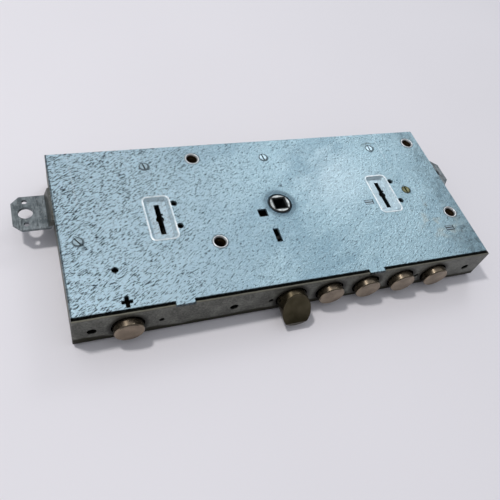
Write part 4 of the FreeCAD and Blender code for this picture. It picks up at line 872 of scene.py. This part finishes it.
def bead_mesh(name, centre, half_x, half_y, corner, top, width, rise):
    """A low dome, rise high and width across, swept along the rounded rectangle; its foot is in the sheet."""
    path = rounded_path(centre, half_x, half_y, corner)
    ahead = np.roll(path, -1, axis=0) - np.roll(path, 1, axis=0)
    ahead /= np.linalg.norm(ahead, axis=1, keepdims=True)
    out = np.stack([ahead[:, 1], -ahead[:, 0]], axis=-1)
    arc = np.linspace(0, math.pi, 9)
    across = np.concatenate([-np.cos(arc) * width / 2, [width / 2, -width / 2]])
    lift = np.concatenate([np.sin(arc) * rise, [-0.4 * MM, -0.4 * MM]])
    flat = path[:, None] + out[:, None] * across[None, :, None]
    height = np.broadcast_to(top + lift[None, :, None], flat.shape[:2] + (1,))
    return grid_mesh(name, np.concatenate([flat, height], axis=-1))


BEAD_OUT, BEAD_SINK, BEAD_WIDTH, BEAD_RISE = 0.5 * MM, 0.02 * MM, 1.3 * MM, 0.24 * MM
# Painted highlight: the beads are coloured near white.
rim_zinc = worked_metal("cup rim with painted highlight", (240, 246, 248), (196, 212, 219), 0.3, 0.6, (900, 300, 900), 0.25)
for label, x in (("service", -CUP_X), ("main", CUP_X)):
    bead = bead_mesh(label + "_bead", (x, CUP_Y), CUP_HALF_X + BEAD_OUT, CUP_HALF_Y + BEAD_OUT,
                     CUP_CORNER + BEAD_OUT, TOP - BEAD_SINK, BEAD_WIDTH, BEAD_RISE)
    piece(label + "_cup_bead", [bead], rim_zinc, "case")

# %% [markdown]
# ## Floor and light
# The lock lies on white paper in daylight. A sun lamp would cut hard shadows, and a sky alone would give
# none. A small square lamp high up, to the left and a little behind, gives the direction and the narrow
# soft shadow in front. A weak lamp behind and to the right and a pale sky fill the rest.


# %% Floor
def paper():
    finish = Finish("white paper")
    soft = finish.noise(finish.place, 3.0, 2.0)
    colour = finish.mix(soft, srgb(226, 224, 229), srgb(236, 234, 239))
    return finish.close(colour, 0.8, metallic=0.0)


TABLE_HALF = 4.0
TABLE_GAP = 0.1 * MM
table_y, table_x = np.meshgrid((-TABLE_HALF, TABLE_HALF), (-TABLE_HALF, TABLE_HALF), indexing="ij")
corners = np.stack([table_x, table_y, np.full((2, 2), cad_low[2] - TABLE_GAP)], axis=-1)
floor_mesh = grid_mesh("table", corners, False, False)
floor_mesh.materials.append(paper())
table = bpy.data.objects.new("table", floor_mesh)
bpy.context.collection.objects.link(table)
print("table at", round(float(cad_low[2]), 5))


# %% Lamps
def soft_lamp(name, place, aim, size, power, colour):
    """A square lamp at a place, turned so that its back points away from what it lights."""
    lamp = bpy.data.lights.new(name, "AREA")
    lamp.size = size
    lamp.energy = power
    lamp.color = colour
    thing = bpy.data.objects.new(name, lamp)
    toward = np.array(place, dtype=float) - np.array(aim, dtype=float)
    toward /= np.linalg.norm(toward)
    side = np.cross((0, 0, 1.0), toward)
    side /= np.linalg.norm(side)
    axes = np.eye(4)
    axes[:3, 0], axes[:3, 1], axes[:3, 2] = side, np.cross(toward, side), toward
    axes[:3, 3] = place
    thing.matrix_world = Matrix(axes.tolist())
    bpy.context.collection.objects.link(thing)
    return thing


WINDOW = np.array([-0.42, 0.17, 1.0])
WINDOW_AWAY = 1.5
window_place = WINDOW / np.linalg.norm(WINDOW) * WINDOW_AWAY
soft_lamp("window", window_place, (0, 0, 0), 0.13, 8.6, (1.0, 0.975, 0.955))
soft_lamp("pale_wall", (0.95, 1.1, 1.3), (0.05, 0.03, 0.03), 0.5, 3.2, (0.95, 0.98, 1.0))


# %% Sky
def pale_sky():
    """Sky light by direction: bright above and behind the object, dim low down in front of it."""
    sky = Finish("sky", bpy.data.worlds, "Generated")
    east, north, up = [sky.axis(sky.place, axis) for axis in range(3)]
    glow = sky.step(up * 0.75 + north * 0.5 - east * 0.12, -0.45, 0.85, 0.22, 0.64)
    shine = sky.node("ShaderNodeBackground", None, {"Color": (0.93, 0.95, 1.0, 1.0), "Strength": glow})
    sky.node("ShaderNodeOutputWorld", None, {"Surface": shine})
    return sky.made


bpy.context.scene.world = pale_sky()
bpy.context.scene.view_settings.view_transform = "Standard"
print("sky", bpy.context.scene.world.name)
